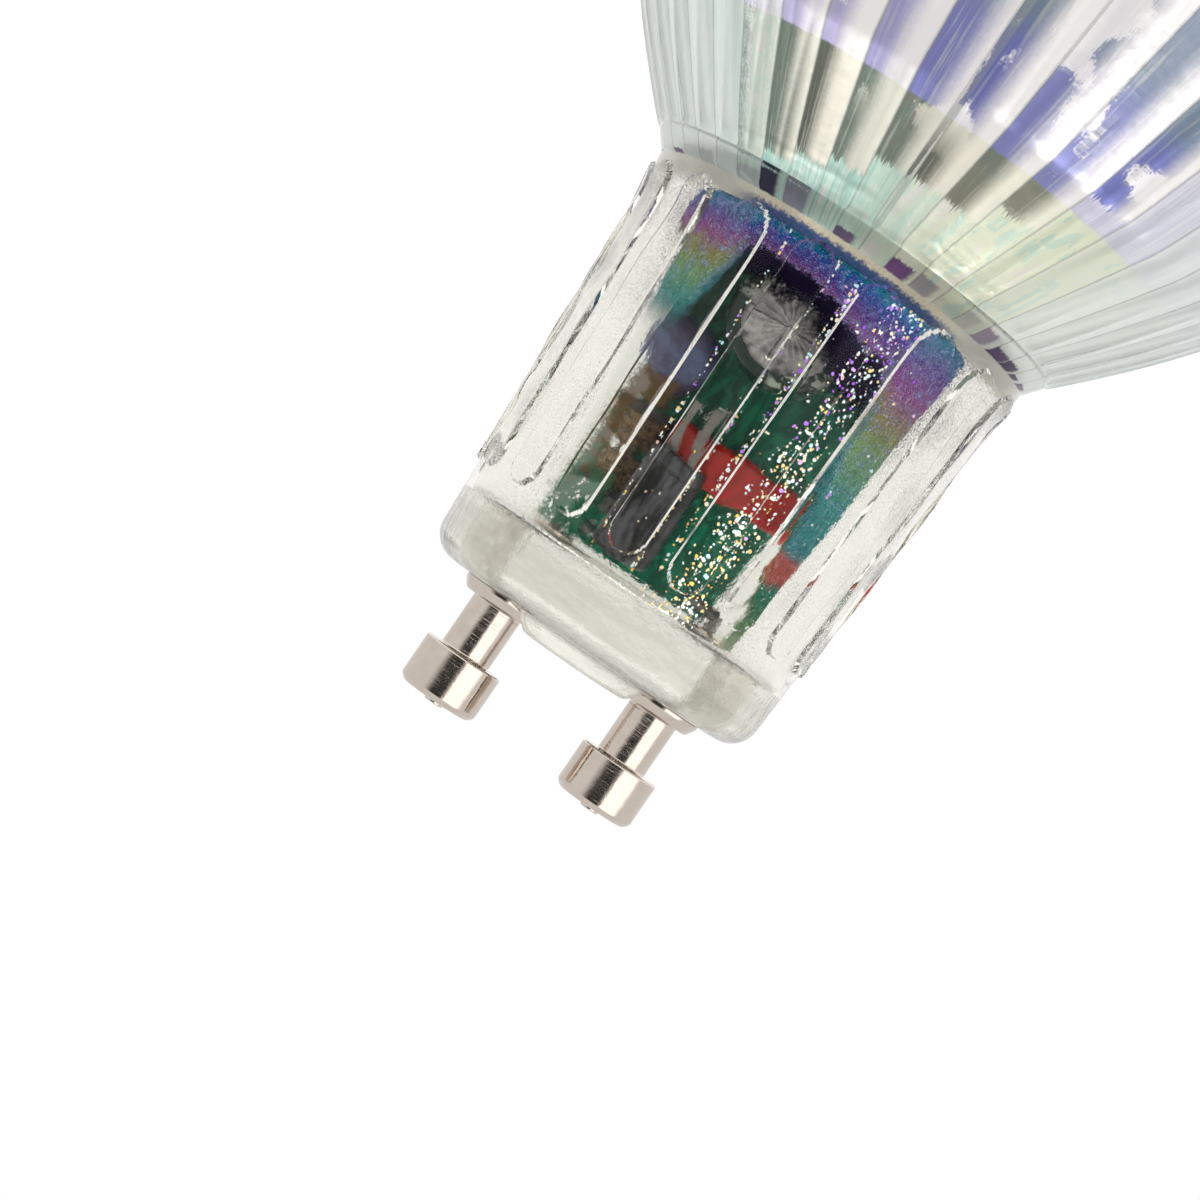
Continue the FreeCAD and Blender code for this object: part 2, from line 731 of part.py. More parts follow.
def storage_capacitor():
    """Can, sleeve, bung and leads, turned along the axis that leaves the board."""
    inner = "Sizes.can_radius - Sizes.can_wall"
    top = "Sizes.can_length - Sizes.sleeve_thickness"
    can = turned("can_solid", [
        (inner, "0"),
        ("Sizes.can_radius", "0"),
        ("Sizes.can_radius", top),
        ("0", top),
        ("0", "Sizes.bung_length"),
        (inner, "Sizes.bung_length"),
    ])
    bung = turned("bung_solid", [
        ("0", "0"),
        (inner, "0"),
        (inner, "Sizes.bung_length"),
        ("0", "Sizes.bung_length"),
    ])
    sleeve = turned("sleeve_solid", [
        ("Sizes.can_radius", "0"),
        ("Places.sleeve_radius", "0"),
        ("Places.sleeve_radius", "Sizes.can_length"),
        ("Sizes.can_radius - Sizes.sleeve_lap", "Sizes.can_length"),
        ("Sizes.can_radius - Sizes.sleeve_lap", top),
        ("Sizes.can_radius", top),
    ])
    for body, label in ((can, "capacitor_can"), (bung, "capacitor_bung"), (sleeve, "capacitor_sleeve")):
        turn_to(body, "-y")
        place(body, "Sizes.can_x", "Sizes.board_face", "Places.can_level")
        finish(body, label)
    straight_leads("capacitor_leads", "Sizes.can_x", "Sizes.can_pitch", "Sizes.board_face",
                   "Places.can_level")


storage_capacitor()


# Smoothing capacitor: a small black cylinder lying along the board

def smoothing_capacitor():
    body = turned("bulk_solid", [
        ("0", "0"),
        ("Sizes.bulk_radius - Sizes.bulk_edge", "0"),
        ("Sizes.bulk_radius", "Sizes.bulk_edge"),
        ("Sizes.bulk_radius", "Sizes.bulk_length - Sizes.bulk_edge"),
        ("Sizes.bulk_radius - Sizes.bulk_edge", "Sizes.bulk_length"),
        ("0", "Sizes.bulk_length"),
    ])
    place(body, "Sizes.bulk_x", "Places.bulk_y", "Places.bulk_foot")
    finish(body, "smoothing_capacitor")
    bent_leads("smoothing_capacitor_leads", "Sizes.bulk_x", "Sizes.bulk_pitch",
               "Places.bulk_y", "Places.bulk_foot", "Places.bulk_lead_level")


smoothing_capacitor()


# Film capacitor: a dipped block with rounded edges

def film_capacitor():
    block = box("film_block", "Sizes.film_length", "Sizes.film_depth", "Sizes.film_height",
                "Places.film_right - Sizes.film_length", "Places.film_front", "Places.film_foot")
    doc.recompute()
    rounded = doc.addObject("Part::Fillet", "film_rounded")
    rounded.Base = block
    radius = reading("Sizes.film_edge")
    mouth = reading("Sizes.board_face")
    edges = []
    for number, edge in enumerate(block.Shape.Edges, 1):
        if edge.BoundBox.YMax < mouth - radius:
            edges.append((number, radius, radius))
    rounded.Edges = edges
    finish(rounded, "film_capacitor")
    straight_leads("film_capacitor_leads", "Places.film_x", "Sizes.film_pitch",
                   "Sizes.board_face", "Places.film_level")


film_capacitor()


# Choke: a drum core with one winding between its cheeks

def choke():
    low = "Sizes.choke_cheek"
    high = "Sizes.choke_length - Sizes.choke_cheek"
    core = turned("choke_core_solid", [
        ("0", "0"),
        ("Sizes.choke_radius", "0"),
        ("Sizes.choke_radius", low),
        ("Sizes.choke_core", low),
        ("Sizes.choke_core", high),
        ("Sizes.choke_radius", high),
        ("Sizes.choke_radius", "Sizes.choke_length"),
        ("0", "Sizes.choke_length"),
    ])
    place(core, "Sizes.choke_x", "Places.choke_y", "Places.choke_foot")
    finish(core, "choke_core")
    length = f"{high} - {low}"
    foot = f"Places.choke_foot + {low}"
    outer = rod("winding", "Places.winding_radius", length, "Sizes.choke_x", "Places.choke_y", foot)
    bore = rod("winding_bore", "Sizes.choke_core", length, "Sizes.choke_x", "Places.choke_y", foot)
    finish(cut("winding_ring", outer, bore), "choke_winding")
    bent_leads("choke_leads", "Places.choke_lead_x", "Sizes.choke_pitch",
               "Places.choke_y", "Places.choke_top", "Places.choke_lead_level")


choke()


# Varistor: a dipped disc facing the neck's wall

def varistor():
    face = "Sizes.varistor_thickness"
    flat = "Sizes.varistor_radius - Sizes.varistor_edge"
    body = turned("varistor_solid", [
        ("0", "0"),
        (flat, "0"),
        ("Sizes.varistor_radius", "Sizes.varistor_edge"),
        ("Sizes.varistor_radius", f"{face} - Sizes.varistor_edge"),
        (flat, face),
        ("0", face),
    ])
    turn_to(body, "-y")
    place(body, "Sizes.varistor_x", "Places.varistor_back", "Places.varistor_level")
    finish(body, "varistor")
    straight_leads("varistor_leads", "Sizes.varistor_x", "Sizes.varistor_pitch",
                   "Places.varistor_back", "Places.varistor_level")


varistor()


# Driver board: a plate that tapers with the cavity, with a tongue into the light source

def driver_board():
    plate = new_body("board_plate")
    sketch = new_sketch(plate, "board_outline", "XZ_Plane")
    tongue = "Sizes.tongue_width / 2"
    right = [
        (tongue, "Places.led_board_face"),
        (tongue, "Places.board_foot"),
        ("Places.board_mouth_half", "Places.board_foot"),
        ("Places.board_mouth_half", "Places.mouth_level"),
        ("Places.board_top_half", "Places.board_top"),
    ]
    mirrored = [(f"-({across})", along) for across, along in reversed(right)]
    draw_outline(sketch, right + mirrored)
    pad = plate.newObject("PartDesign::Pad", "board_pad")
    pad.Profile = sketch
    pad.setExpression("Length", "Sizes.board_thickness")
    pad.Reversed = True
    plate.Tip = pad
    holes = new_sketch(plate, "board_holes", "XZ_Plane")
    half = "Places.lead_hole_half"
    for across, level in lead_holes:
        left, right = f"{across} - {half}", f"{across} + {half}"
        foot, top = f"{level} - {half}", f"{level} + {half}"
        draw_outline(holes, [(left, foot), (right, foot), (right, top), (left, top)])
    for across in ("-Places.wire_x", "Places.wire_x"):
        add_circle(holes, across, "Places.wire_level", "Places.wire_hole")
    pocket(plate, "board_drilling", holes, "Sizes.board_thickness")
    place(plate, "0", "Sizes.board_face", "0")
    finish(plate, "driver_board")


driver_board()


# Parts on the back of the driver board

def back_block(name, width, depth, height, x, foot):
    """A block that stands on the back of the board, centred across."""
    return box(name, width, depth, height, f"{x} - {width} / 2", "Places.board_back", foot)


def gull_legs(name, x, width, middle, count):
    """Rows of flat legs on both sides of a chip."""
    legs = []
    span = f"Sizes.leg_pitch * ({count} - 1) / 2"
    for number in range(round(reading(count))):
        foot = f"{middle} - {span} + Sizes.leg_pitch * {number} - Sizes.leg_width / 2"
        for side, start in (("l", f"{x} - {width} / 2 - Sizes.leg_length"), ("r", f"{x} + {width} / 2")):
            legs.append(box(f"{name}_{side}{number}", "Sizes.leg_length", "Sizes.leg_thickness",
                            "Sizes.leg_width", start, "Places.board_back", foot))
    return legs


def back_parts():
    bridge = back_block("bridge_block", "Sizes.rectifier_width", "Sizes.rectifier_depth",
                        "Sizes.rectifier_height", "Sizes.rectifier_x", "Places.rectifier_foot")
    finish(bridge, "bridge_rectifier")
    chip_foot = "Places.chip_level - Sizes.chip_height / 2"
    chip = back_block("chip_block", "Sizes.chip_width", "Sizes.chip_depth", "Sizes.chip_height",
                      "Sizes.chip_x", chip_foot)
    finish(chip, "driver_chip")
    legs = gull_legs("chip_leg", "Sizes.chip_x", "Sizes.chip_width", "Places.chip_level", "Sizes.leg_count")
    finish(join("Part::Compound", "chip_leg_rows", legs), "driver_chip_legs")
    resistors = []
    for number in range(round(reading("Sizes.resistor_count"))):
        foot = f"Places.resistor_foot + Sizes.resistor_pitch * {number}"
        resistors.append(back_block(f"resistor_{number}", "Sizes.resistor_width", "Sizes.resistor_depth",
                                    "Sizes.resistor_height", "Sizes.resistor_x", foot))
    finish(join("Part::Compound", "resistor_row", resistors), "chip_resistors")
    ceramics = []
    for number in range(round(reading("Sizes.ceramic_count"))):
        foot = f"Places.ceramic_foot + Sizes.ceramic_pitch * {number}"
        ceramics.append(back_block(f"ceramic_{number}", "Sizes.ceramic_width", "Sizes.ceramic_depth",
                                   "Sizes.ceramic_height", "Sizes.ceramic_x", foot))
    finish(join("Part::Compound", "ceramic_row", ceramics), "chip_capacitors")


back_parts()


# Radio module: a small board under a folded tin shield

def radio_module():
    left = "-Sizes.radio_width / 2"
    board = box("radio_plate", "Sizes.radio_width", "Sizes.radio_thickness", "Sizes.radio_height",
                left, "Places.board_back", "Places.radio_foot")
    finish(board, "radio_board")
    width = "Sizes.radio_width - 2 * Sizes.shield_margin"
    height = "Sizes.radio_height - 2 * Sizes.shield_margin"
    face = "Places.board_back + Sizes.radio_thickness"
    outer = box("shield_block", width, "Sizes.shield_depth", height, f"{left} + Sizes.shield_margin",
                face, "Places.radio_foot + Sizes.shield_margin")
    wall = "Sizes.shield_wall"
    inner = box("shield_hollow", f"{width} - 2 * {wall}", f"Sizes.shield_depth - {wall}",
                f"{height} - 2 * {wall}", f"{left} + Sizes.shield_margin + {wall}", face,
                f"Places.radio_foot + Sizes.shield_margin + {wall}")
    finish(cut("shield_can", outer, inner), "radio_shield")


radio_module()


# Light source: a lamp board bonded to the heat spreader

def slotted_disc(name, radius, foot, thickness):
    """A flat disc with a slot for the driver board's tongue."""
    top = f"{foot} + {thickness}"
    disc = turned(name, [("0", foot), (radius, foot), (radius, top), ("0", top)])
    sketch = new_sketch(disc, name + "_slot", "XY_Plane")
    sketch.setExpression("AttachmentOffset.Base.z", foot)
    half = "Places.slot_half"
    front = "Places.slot_front"
    back = "Places.slot_front + Places.slot_thickness"
    draw_outline(sketch, [(f"-{half}", front), (half, front), (half, back), (f"-{half}", back)])
    pocket(disc, name + "_cut", sketch, thickness, reverse=True)
    return disc


spreader = slotted_disc("spreader_disc", "Sizes.spreader_radius", "Places.spreader_face",
                        "Sizes.spreader_thickness")
finish(spreader, "heat_spreader")
lamp_board = slotted_disc("led_disc", "Sizes.led_board_radius", "Places.led_board_face",
                          "Sizes.led_board_thickness")
finish(lamp_board, "led_board")


def led_packages():
    """Square light-emitting packages in a ring on the lamp board."""
    packages = []
    count = round(reading("Sizes.led_count"))
    for number in range(count):
        turn = FULL_TURN * (number + 0.5) / count
        package = doc.addObject("Part::Box", f"led_{number}")
        package.setExpression("Length", "Sizes.led_size")
        package.setExpression("Width", "Sizes.led_size")
        package.setExpression("Height", "Sizes.led_height")
        rotation = FreeCAD.Rotation(FreeCAD.Vector(0, 0, 1), turn)
        package.Placement = FreeCAD.Placement(FreeCAD.Vector(), rotation)
        inner = "(Sizes.led_ring - Sizes.led_size / 2)"
        half = "Sizes.led_size / 2"
        place(package, f"{inner} * cos({turn}deg) + {half} * sin({turn}deg)",
              f"{inner} * sin({turn}deg) - {half} * cos({turn}deg)", "Places.led_face")
        packages.append(package)
    finish(join("Part::Compound", "led_group", packages), "led_packages")


led_packages()


# Front cover, glued into the rim

cover = turned("cover_disc", [
    ("0", "Sizes.cover_recess"),
    ("Places.cover_radius", "Sizes.cover_recess"),
    ("Places.cover_radius", "Places.cover_seat"),
    ("0", "Places.cover_seat"),
])
finish(cover, "front_cover")

# Check the document, then write each sub-part

doc.removeObject(gauge.Name)
doc.recompute()
for item in doc.Objects:
    if "Invalid" in item.State or "Error" in item.State:
        raise RuntimeError(f"{item.Label} failed: {item.State}")
for piece in parts:
    if piece.Shape.isNull() or not piece.Shape.isValid():
        raise RuntimeError(f"{piece.Label} has no valid shape")

os.makedirs("parts", exist_ok=True)
for piece in parts:
    piece.Shape.exportStep(f"parts/{piece.Label}.step")
    print(f"{piece.Label}: {len(piece.Shape.Solids)} solid, {piece.Shape.Volume:.1f} mm3")
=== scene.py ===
# %% [markdown]
# # A pressed-glass spotlight bulb
# The bulb stands face down on its rim with its two contact pins up. A thick glass body holds
# everything: a fluted bowl, a reeded neck and a solid foot with two riveted pins. The packed CAD
# model is loaded first as a fixed frame, in metres, so each new piece goes where the CAD says.
# Sizes below are in millimetres and bearings in degrees, where nothing else is said.

# %% The frame
import math
import bpy
import bmesh
import numpy as np
from mathutils import Matrix, Vector
from mathutils.geometry import delaunay_2d_cdt


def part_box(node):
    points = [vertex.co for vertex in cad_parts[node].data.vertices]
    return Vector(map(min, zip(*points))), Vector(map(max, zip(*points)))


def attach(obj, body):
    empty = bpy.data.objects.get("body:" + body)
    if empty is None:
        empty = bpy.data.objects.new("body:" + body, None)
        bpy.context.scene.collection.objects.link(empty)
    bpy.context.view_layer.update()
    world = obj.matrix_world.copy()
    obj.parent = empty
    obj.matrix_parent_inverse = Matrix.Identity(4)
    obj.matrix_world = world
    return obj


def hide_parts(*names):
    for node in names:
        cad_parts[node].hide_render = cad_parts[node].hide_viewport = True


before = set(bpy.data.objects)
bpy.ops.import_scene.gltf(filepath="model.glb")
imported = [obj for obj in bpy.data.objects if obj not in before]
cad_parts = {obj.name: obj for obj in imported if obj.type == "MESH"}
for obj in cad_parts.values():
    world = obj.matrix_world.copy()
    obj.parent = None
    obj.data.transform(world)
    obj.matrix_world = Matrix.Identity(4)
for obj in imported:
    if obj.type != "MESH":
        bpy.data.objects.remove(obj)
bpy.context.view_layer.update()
MM = 0.001


# %% [markdown]
# ## The camera
# The photograph is a close-up from the side, turned so that the pins point down to the left. A
# tilted table would do the same, but turning the camera about its own line of sight keeps the bulb
# upright in its frame. The lens follows from the distance and from how much the picture spans.

# %% Camera
PICTURE_SPAN = 63.63 * MM
CAMERA_DISTANCE = 159.0 * MM
CAMERA_AIM = Vector((0.75, 0.0, 44.5)) * MM
PICTURE_TURN = math.radians(34.4)
SENSOR_WIDTH = 36.0
NEAREST_SEEN = 10.0 * MM


def place(name, data):
    placed = bpy.data.objects.new(name, data)
    bpy.context.scene.collection.objects.link(placed)
    return placed


camera_data = bpy.data.cameras.new("camera")
camera_data.sensor_width = SENSOR_WIDTH
camera_data.lens = SENSOR_WIDTH * CAMERA_DISTANCE / PICTURE_SPAN
camera_data.clip_start = NEAREST_SEEN
camera = place("camera", camera_data)
picture_right = Vector((-math.cos(PICTURE_TURN), 0.0, -math.sin(PICTURE_TURN)))
picture_up = Vector((math.sin(PICTURE_TURN), 0.0, -math.cos(PICTURE_TURN)))
towards_viewer = Vector((0.0, -1.0, 0.0))
turned = Matrix((picture_right, picture_up, towards_viewer)).transposed().to_4x4()
camera.matrix_world = Matrix.Translation(CAMERA_AIM + towards_viewer * CAMERA_DISTANCE) @ turned
bpy.context.scene.camera = camera
bpy.context.scene.view_settings.view_transform = "Standard"
print("lens", round(camera_data.lens, 1), "mm")

# %% [markdown]
# ## Finishes as sums
# Every finish here is a node tree, but wiring nodes by hand hides the idea. A small class wraps a
# socket so that ordinary Python sums add Math nodes. Each operator has its reflected form, so that
# a plain number may stand on either side of it.


# %% Sockets that add up
class Value:
    def __init__(self, finish, socket):
        self.finish = finish
        self.socket = socket

    def sum(self, operation, first, second):
        return self.finish.node("ShaderNodeMath", {"operation": operation}, {0: first, 1: second})

    def __add__(self, other):
        return self.sum("ADD", self, other)

    def __radd__(self, other):
        return self.sum("ADD", other, self)

    def __sub__(self, other):
        return self.sum("SUBTRACT", self, other)

    def __rsub__(self, other):
        return self.sum("SUBTRACT", other, self)

    def __mul__(self, other):
        return self.sum("MULTIPLY", self, other)

    def __rmul__(self, other):
        return self.sum("MULTIPLY", other, self)

    def __truediv__(self, other):
        return self.sum("DIVIDE", self, other)

    def __rtruediv__(self, other):
        return self.sum("DIVIDE", other, self)

    def __mod__(self, other):
        return self.sum("FLOORED_MODULO", self, other)

    def __rmod__(self, other):
        return self.sum("FLOORED_MODULO", other, self)

    def __gt__(self, other):
        return self.sum("GREATER_THAN", self, other)

    def __lt__(self, other):
        return self.sum("LESS_THAN", self, other)

    def whole(self):
        return self.sum("FLOOR", self, 0.0)

    def size(self):
        return self.sum("ABSOLUTE", self, 0.0)


print("reflected:", ", ".join(name.strip("_") for name in vars(Value) if name.startswith("__r")))

# %% [markdown]
# ## One method for every node
# Any other node comes from one method: its settings first, then the numbers or links of its
# sockets. Short methods on top of it name what a finish is made of: a place in millimetres, a
# bearing round the axis, noise, a soft step between two values, glazes laid over a ground, a bump.

# %% A finish and its nodes
DEGREES = 180 / math.pi
BLACK, WHITE = (0.0, 0.0, 0.0), (1.0, 1.0, 1.0)


class Finish:
    def __init__(self, name, tree=None):
        self.name = name
        if tree is None:
            self.material = bpy.data.materials.new(name)
            self.material.use_nodes = True
            tree = self.material.node_tree
        self.tree = tree
        self.tree.nodes.clear()

    def node(self, kind, settings=None, inputs=None, output=0):
        made = self.tree.nodes.new(kind)
        for name, value in (settings or {}).items():
            if name == "stops":
                elements = made.color_ramp.elements
                while len(elements) < len(value):
                    elements.new(1.0)
                for element, (position, colour) in zip(elements, value):
                    element.position = position
                    element.color = (*colour, 1.0)
            else:
                setattr(made, name, value)
        for name, value in (inputs or {}).items():
            socket = made.inputs[name]
            if isinstance(value, Value):
                self.tree.links.new(value.socket, socket)
            elif socket.type == "RGBA" and len(value) == 3:
                socket.default_value = (*value, 1.0)
            else:
                socket.default_value = value
        return Value(self, made.outputs[output])

    def where(self, stretch=(1.0, 1.0, 1.0)):
        spot = self.node("ShaderNodeTexCoord", output="Object")
        factors = tuple(factor / MM for factor in stretch)
        return self.node("ShaderNodeVectorMath", {"operation": "MULTIPLY"}, {0: spot, 1: factors})

    def split(self, vector):
        parts = self.node("ShaderNodeSeparateXYZ", None, {0: vector})
        return [Value(self, socket) for socket in parts.socket.node.outputs]

    def joined(self, first, second):
        return self.node("ShaderNodeCombineXYZ", None, {0: first, 1: second})

    def angle(self, rise, run):
        return self.node("ShaderNodeMath", {"operation": "ARCTAN2"}, {0: rise, 1: run})

    def bearing(self, x, y):
        return self.angle(x, 0.0 - y) * DEGREES

    def noise(self, scale, vector, detail=3.0, rough=0.55):
        inputs = {"Vector": vector, "Scale": scale, "Detail": detail, "Roughness": rough}
        return self.node("ShaderNodeTexNoise", None, inputs)

    def between(self, value, low, high):
        inputs = {"Value": value, "From Min": low, "From Max": high}
        return self.node("ShaderNodeMapRange", {"interpolation_type": "SMOOTHSTEP"}, inputs)

    def near(self, offset, faded, full):
        return self.between(offset.size(), faded, full)

    def ramp(self, share, stops):
        return self.node("ShaderNodeValToRGB", {"stops": stops}, {0: share})

    def mix(self, share, first, second):
        return self.node("ShaderNodeMix", {"data_type": "RGBA"}, {0: share, 6: first, 7: second}, 2)

    def glazed(self, ground, *glazes):
        for share, tone in glazes:
            ground = self.mix(share, ground, tone)
        return ground

    def bump(self, height, depth):
        return self.node("ShaderNodeBump", None, {"Height": height, "Distance": depth * MM})

    def skin(self, inputs):
        return self.node("ShaderNodeBsdfPrincipled", None, inputs)

    def layered(self, share, under, over):
        return self.node("ShaderNodeMixShader", None, {0: share, 1: under, 2: over})

    def show(self, shader, kind="ShaderNodeOutputMaterial"):
        end = self.tree.nodes.new(kind)
        self.tree.links.new(shader.socket, end.inputs["Surface"])
        print("finish", self.name, "has", len(self.tree.nodes), "nodes")
        return self


print("node helpers ready")

# %% [markdown]
# ## The studio
# The bulb was photographed in an all-white tent, which is what makes clear glass look bright: the
# thick parts mirror white from every side. A white world does this. Polished metal would look flat
# in it, so mirror reflections also meet one dark strip, where the viewer stands, beside a bright
# one. Real strips of card would stand in the light, so they are only in what mirrors see.

# %% White tent
STRIP_DARK, DARK_EDGES = (-15.0, 33.0), (9.0, 14.0)
STRIP_BRIGHT, BRIGHT_EDGES = (-70.0, -18.0), (8.0, 3.0)
MIRROR_LEVEL, BRIGHT_GAIN, DARK_LOSS = 0.86, 1.04, 0.82
WORLD_LEVEL = 0.75
world = bpy.data.worlds.new("white_tent")
bpy.context.scene.world = world
world.use_nodes = True
tent = Finish("white_tent", world.node_tree)
east, north, above = tent.split(tent.node("ShaderNodeTexCoord", output="Generated"))
tent_bearing = tent.bearing(east, north)


def tent_strip(ends, edges):
    begins = tent.between(tent_bearing, ends[0] - edges[0], ends[0] + edges[0])
    return begins * tent.between(tent_bearing, ends[1] + edges[1], ends[1] - edges[1])


bright = tent_strip(STRIP_BRIGHT, BRIGHT_EDGES) * BRIGHT_GAIN
dark = tent_strip(STRIP_DARK, DARK_EDGES) * DARK_LOSS
level_band = tent.near(above, 0.8, 0.5)
mirrored = MIRROR_LEVEL + level_band * (bright - dark)
camera_ray, mirror_ray, glass_ray = (
    tent.node("ShaderNodeLightPath", output=f"Is {kind} Ray")
    for kind in ("Camera", "Glossy", "Transmission")
)
straight = 1.0 - (1.0 - camera_ray) * (1.0 - glass_ray)
bounced = mirror_ray * mirrored + (1.0 - mirror_ray) * WORLD_LEVEL
strength = straight + (1.0 - straight) * bounced
glow = tent.node("ShaderNodeBackground", None, {"Color": WHITE, "Strength": strength})
tent.show(glow, "ShaderNodeOutputWorld")
print("dark strip at", STRIP_DARK, "degrees, bright strip at", STRIP_BRIGHT)

# %% [markdown]
# ## The floor
# A sheet of white paper lies under the bulb. More light on it would also flood the bulb, so the
# paper gives off a little light of its own: it stays white in the picture and still takes a
# shadow. From below it is clear, so that the front of the bulb can be looked at too.

# %% Floor
FLOOR_SIZE = 3.0
PAPER_GREY, PAPER_MOTTLE, PAPER_GLOW = 0.30, 0.02, 0.8
half = FLOOR_SIZE / 2
corners = [(-half, -half, 0), (half, -half, 0), (half, half, 0), (-half, half, 0)]
floor_mesh = bpy.data.meshes.new("floor")
floor_mesh.from_pydata(corners, [], [(0, 1, 2, 3)])
floor = place("floor", floor_mesh)
paper = Finish("white_paper")
grey = PAPER_GREY + PAPER_MOTTLE * paper.noise(0.05, paper.where())
paper_skin = paper.skin({
    "Base Color": paper.node("ShaderNodeCombineColor", None, {0: grey, 1: grey, 2: grey}),
    "Roughness": 0.9,
    "Specular IOR Level": 0.0,
    "Emission Color": WHITE,
    "Emission Strength": PAPER_GLOW,
})
clear = paper.node("ShaderNodeBsdfTransparent")
underside = paper.node("ShaderNodeNewGeometry", output="Backfacing")
paper.show(paper.layered(underside, paper_skin, clear))
floor_mesh.materials.append(paper.material)
print("floor", FLOOR_SIZE, "m wide")

# %% [markdown]
# ## The lamps
# Two large soft lamps give the even light of the tent a direction. Sun lamps would throw hard
# shadows. The lamps are kept out of mirrors, where their square shape would show on the pins.

# %% Softboxes
LAMPS_AIM = Vector((0, 0, 0.03))


def softbox(name, spot, size, power):
    lamp = bpy.data.lights.new(name, "AREA")
    lamp.shape = "RECTANGLE"
    lamp.size = size
    lamp.size_y = size
    lamp.energy = power
    holder = place(name, lamp)
    holder.location = Vector(spot)
    holder.rotation_euler = (LAMPS_AIM - holder.location).to_track_quat("-Z", "Y").to_euler()
    holder.visible_camera = False
    holder.visible_glossy = False
    print(name, size, "m wide,", power, "W")


softbox("softbox_side", (-0.45, -0.35, 0.5), 0.3, 1.3)
softbox("softbox_top", (0.25, 0.1, 0.7), 0.4, 1.0)

# %% [markdown]
# ## Turning and pressing
# Most pieces of the bulb were turned on a lathe or pressed in a round mould, so one helper spins an
# outline of (radius, height) points. Real edges are never knife sharp: a second helper rounds the
# outline's corners first, and those small roundings are what catches the light. A third braces
# each long run with a point near both ends, which keeps smooth shading true on a plain cylinder.


# %% Outline helpers
def rounded(outline, radius, steps=4, most=0.45):
    points = [Vector(p) for p in outline]
    made = [points[0]]
    for before, corner, after in zip(points, points[1:], points[2:]):
        reach = min(radius, (before - corner).length * most, (after - corner).length * most)
        start = corner + (before - corner).normalized() * reach
        end = corner + (after - corner).normalized() * reach
        for share in np.linspace(0, 1, steps + 1):
            rest = 1 - share
            made.append(start * rest**2 + corner * 2 * share * rest + end * share**2)
    made.append(points[-1])
    return [tuple(p) for p in made]


def braced(outline, margin=0.03):
    shortest = 6 * margin
    made = [outline[0]]
    for before, after in zip(outline, outline[1:]):
        run = math.dist(before, after)
        if run > shortest:
            for share in (margin / run, 1 - margin / run):
                made.append(tuple(a + (b - a) * share for a, b in zip(before, after)))
        made.append(after)
    return made


def spun(outline, sides):
    turn = np.linspace(0, 2 * math.pi, sides, endpoint=False)
    rings = [np.stack([r * np.cos(turn), r * np.sin(turn), np.full(sides, z)], 1) for r, z in outline]
    return np.array(rings)


TEST_CORNER = [(0.0, 0.0), (1.0, 0.0), (1.0, 1.0)]
print("a rounded corner takes", len(rounded(TEST_CORNER, 0.2)), "points,",
      len(braced(rounded(TEST_CORNER, 0.2))), "when braced")

# %% [markdown]
# ## From rings to a piece
# Rings of points become four-sided faces, and those become a mesh. Doubled points are merged, so
# that the tip of a spun outline closes, and only edges over a set angle stay crisp. A subdivided
# rough shape would be quicker to draw, but rings keep every measure. Each piece then rides on the
# body of the frame and stands in for the plain solid.

# %% Skins and pieces
WELD, SLIVER = 0.0005 * MM, 0.0004 * MM
CREASE = 40.0


def skin_rings(rings):
    count, sides = rings.shape[:2]
    column = np.arange(sides)
    following = (column + 1) % sides
    quads = []
    for row in range(count - 1):
        low, high = row * sides, (row + 1) * sides
        quads.append(np.stack([low + column, low + following, high + following, high + column], 1))
    return rings.reshape(-1, 3), np.concatenate(quads)


def add_piece(name, points, faces, finishes, node, face_finish=None, crease=CREASE):
    mesh = bpy.data.meshes.new(name)
    spots = [tuple(p) for p in np.asarray(points) * MM]
    mesh.from_pydata(spots, [], [tuple(int(i) for i in f) for f in faces])
    for finish in finishes:
        mesh.materials.append(finish.material)
    if face_finish is not None:
        mesh.polygons.foreach_set("material_index", np.asarray(face_finish, dtype=np.int32))
    cleaned = bmesh.new()
    cleaned.from_mesh(mesh)
    bmesh.ops.remove_doubles(cleaned, verts=cleaned.verts, dist=WELD)
    bmesh.ops.dissolve_degenerate(cleaned, edges=cleaned.edges, dist=SLIVER)
    bmesh.ops.recalc_face_normals(cleaned, faces=cleaned.faces)
    cleaned.to_mesh(mesh)
    cleaned.free()
    mesh.polygons.foreach_set("use_smooth", np.ones(len(mesh.polygons), dtype=bool))
    mesh.set_sharp_from_angle(angle=math.radians(crease))
    piece = place(name, mesh)
    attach(piece, "root")
    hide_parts(node)
    print(name, len(mesh.polygons), "faces")


def add_turned(name, outline, sides, centre, finish, node, lying=False, crease=CREASE):
    rings = spun(outline, sides)
    if lying:
        rings = np.stack([rings[..., 0], -rings[..., 2], rings[..., 1]], -1)
    points, faces = skin_rings(rings + np.asarray(centre))
    add_piece(name, points, faces, [finish], node, crease=crease)


print("edges over", CREASE, "degrees stay crisp")

# %% [markdown]
# ## The glass body
# One gob of glass was pressed between two moulds. The outer mould gives 40 flutes on the bowl, 18
# reeds on the neck and a smooth foot; the plunger gives a plain hollow. Boolean cuts would leave
# ragged meshes that glass shows up at once, so each ring of points gets its radius from a formula.
# The bowl's side is an arc from the rim to the waist.

# %% Glass sizes
RIM_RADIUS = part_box("glass_body")[1].x / MM
RIM_TOP = 5.0
WAIST = (12.3, 22.1)
NECK_TOP = (11.2, 23.2)
NECK_FOOT = (10.0, 45.5)
SEAT = (8.4, 47.1)
BOWL_CURVE = 68.0
SIDES = 720
turn = np.linspace(0, 2 * math.pi, SIDES, endpoint=False)


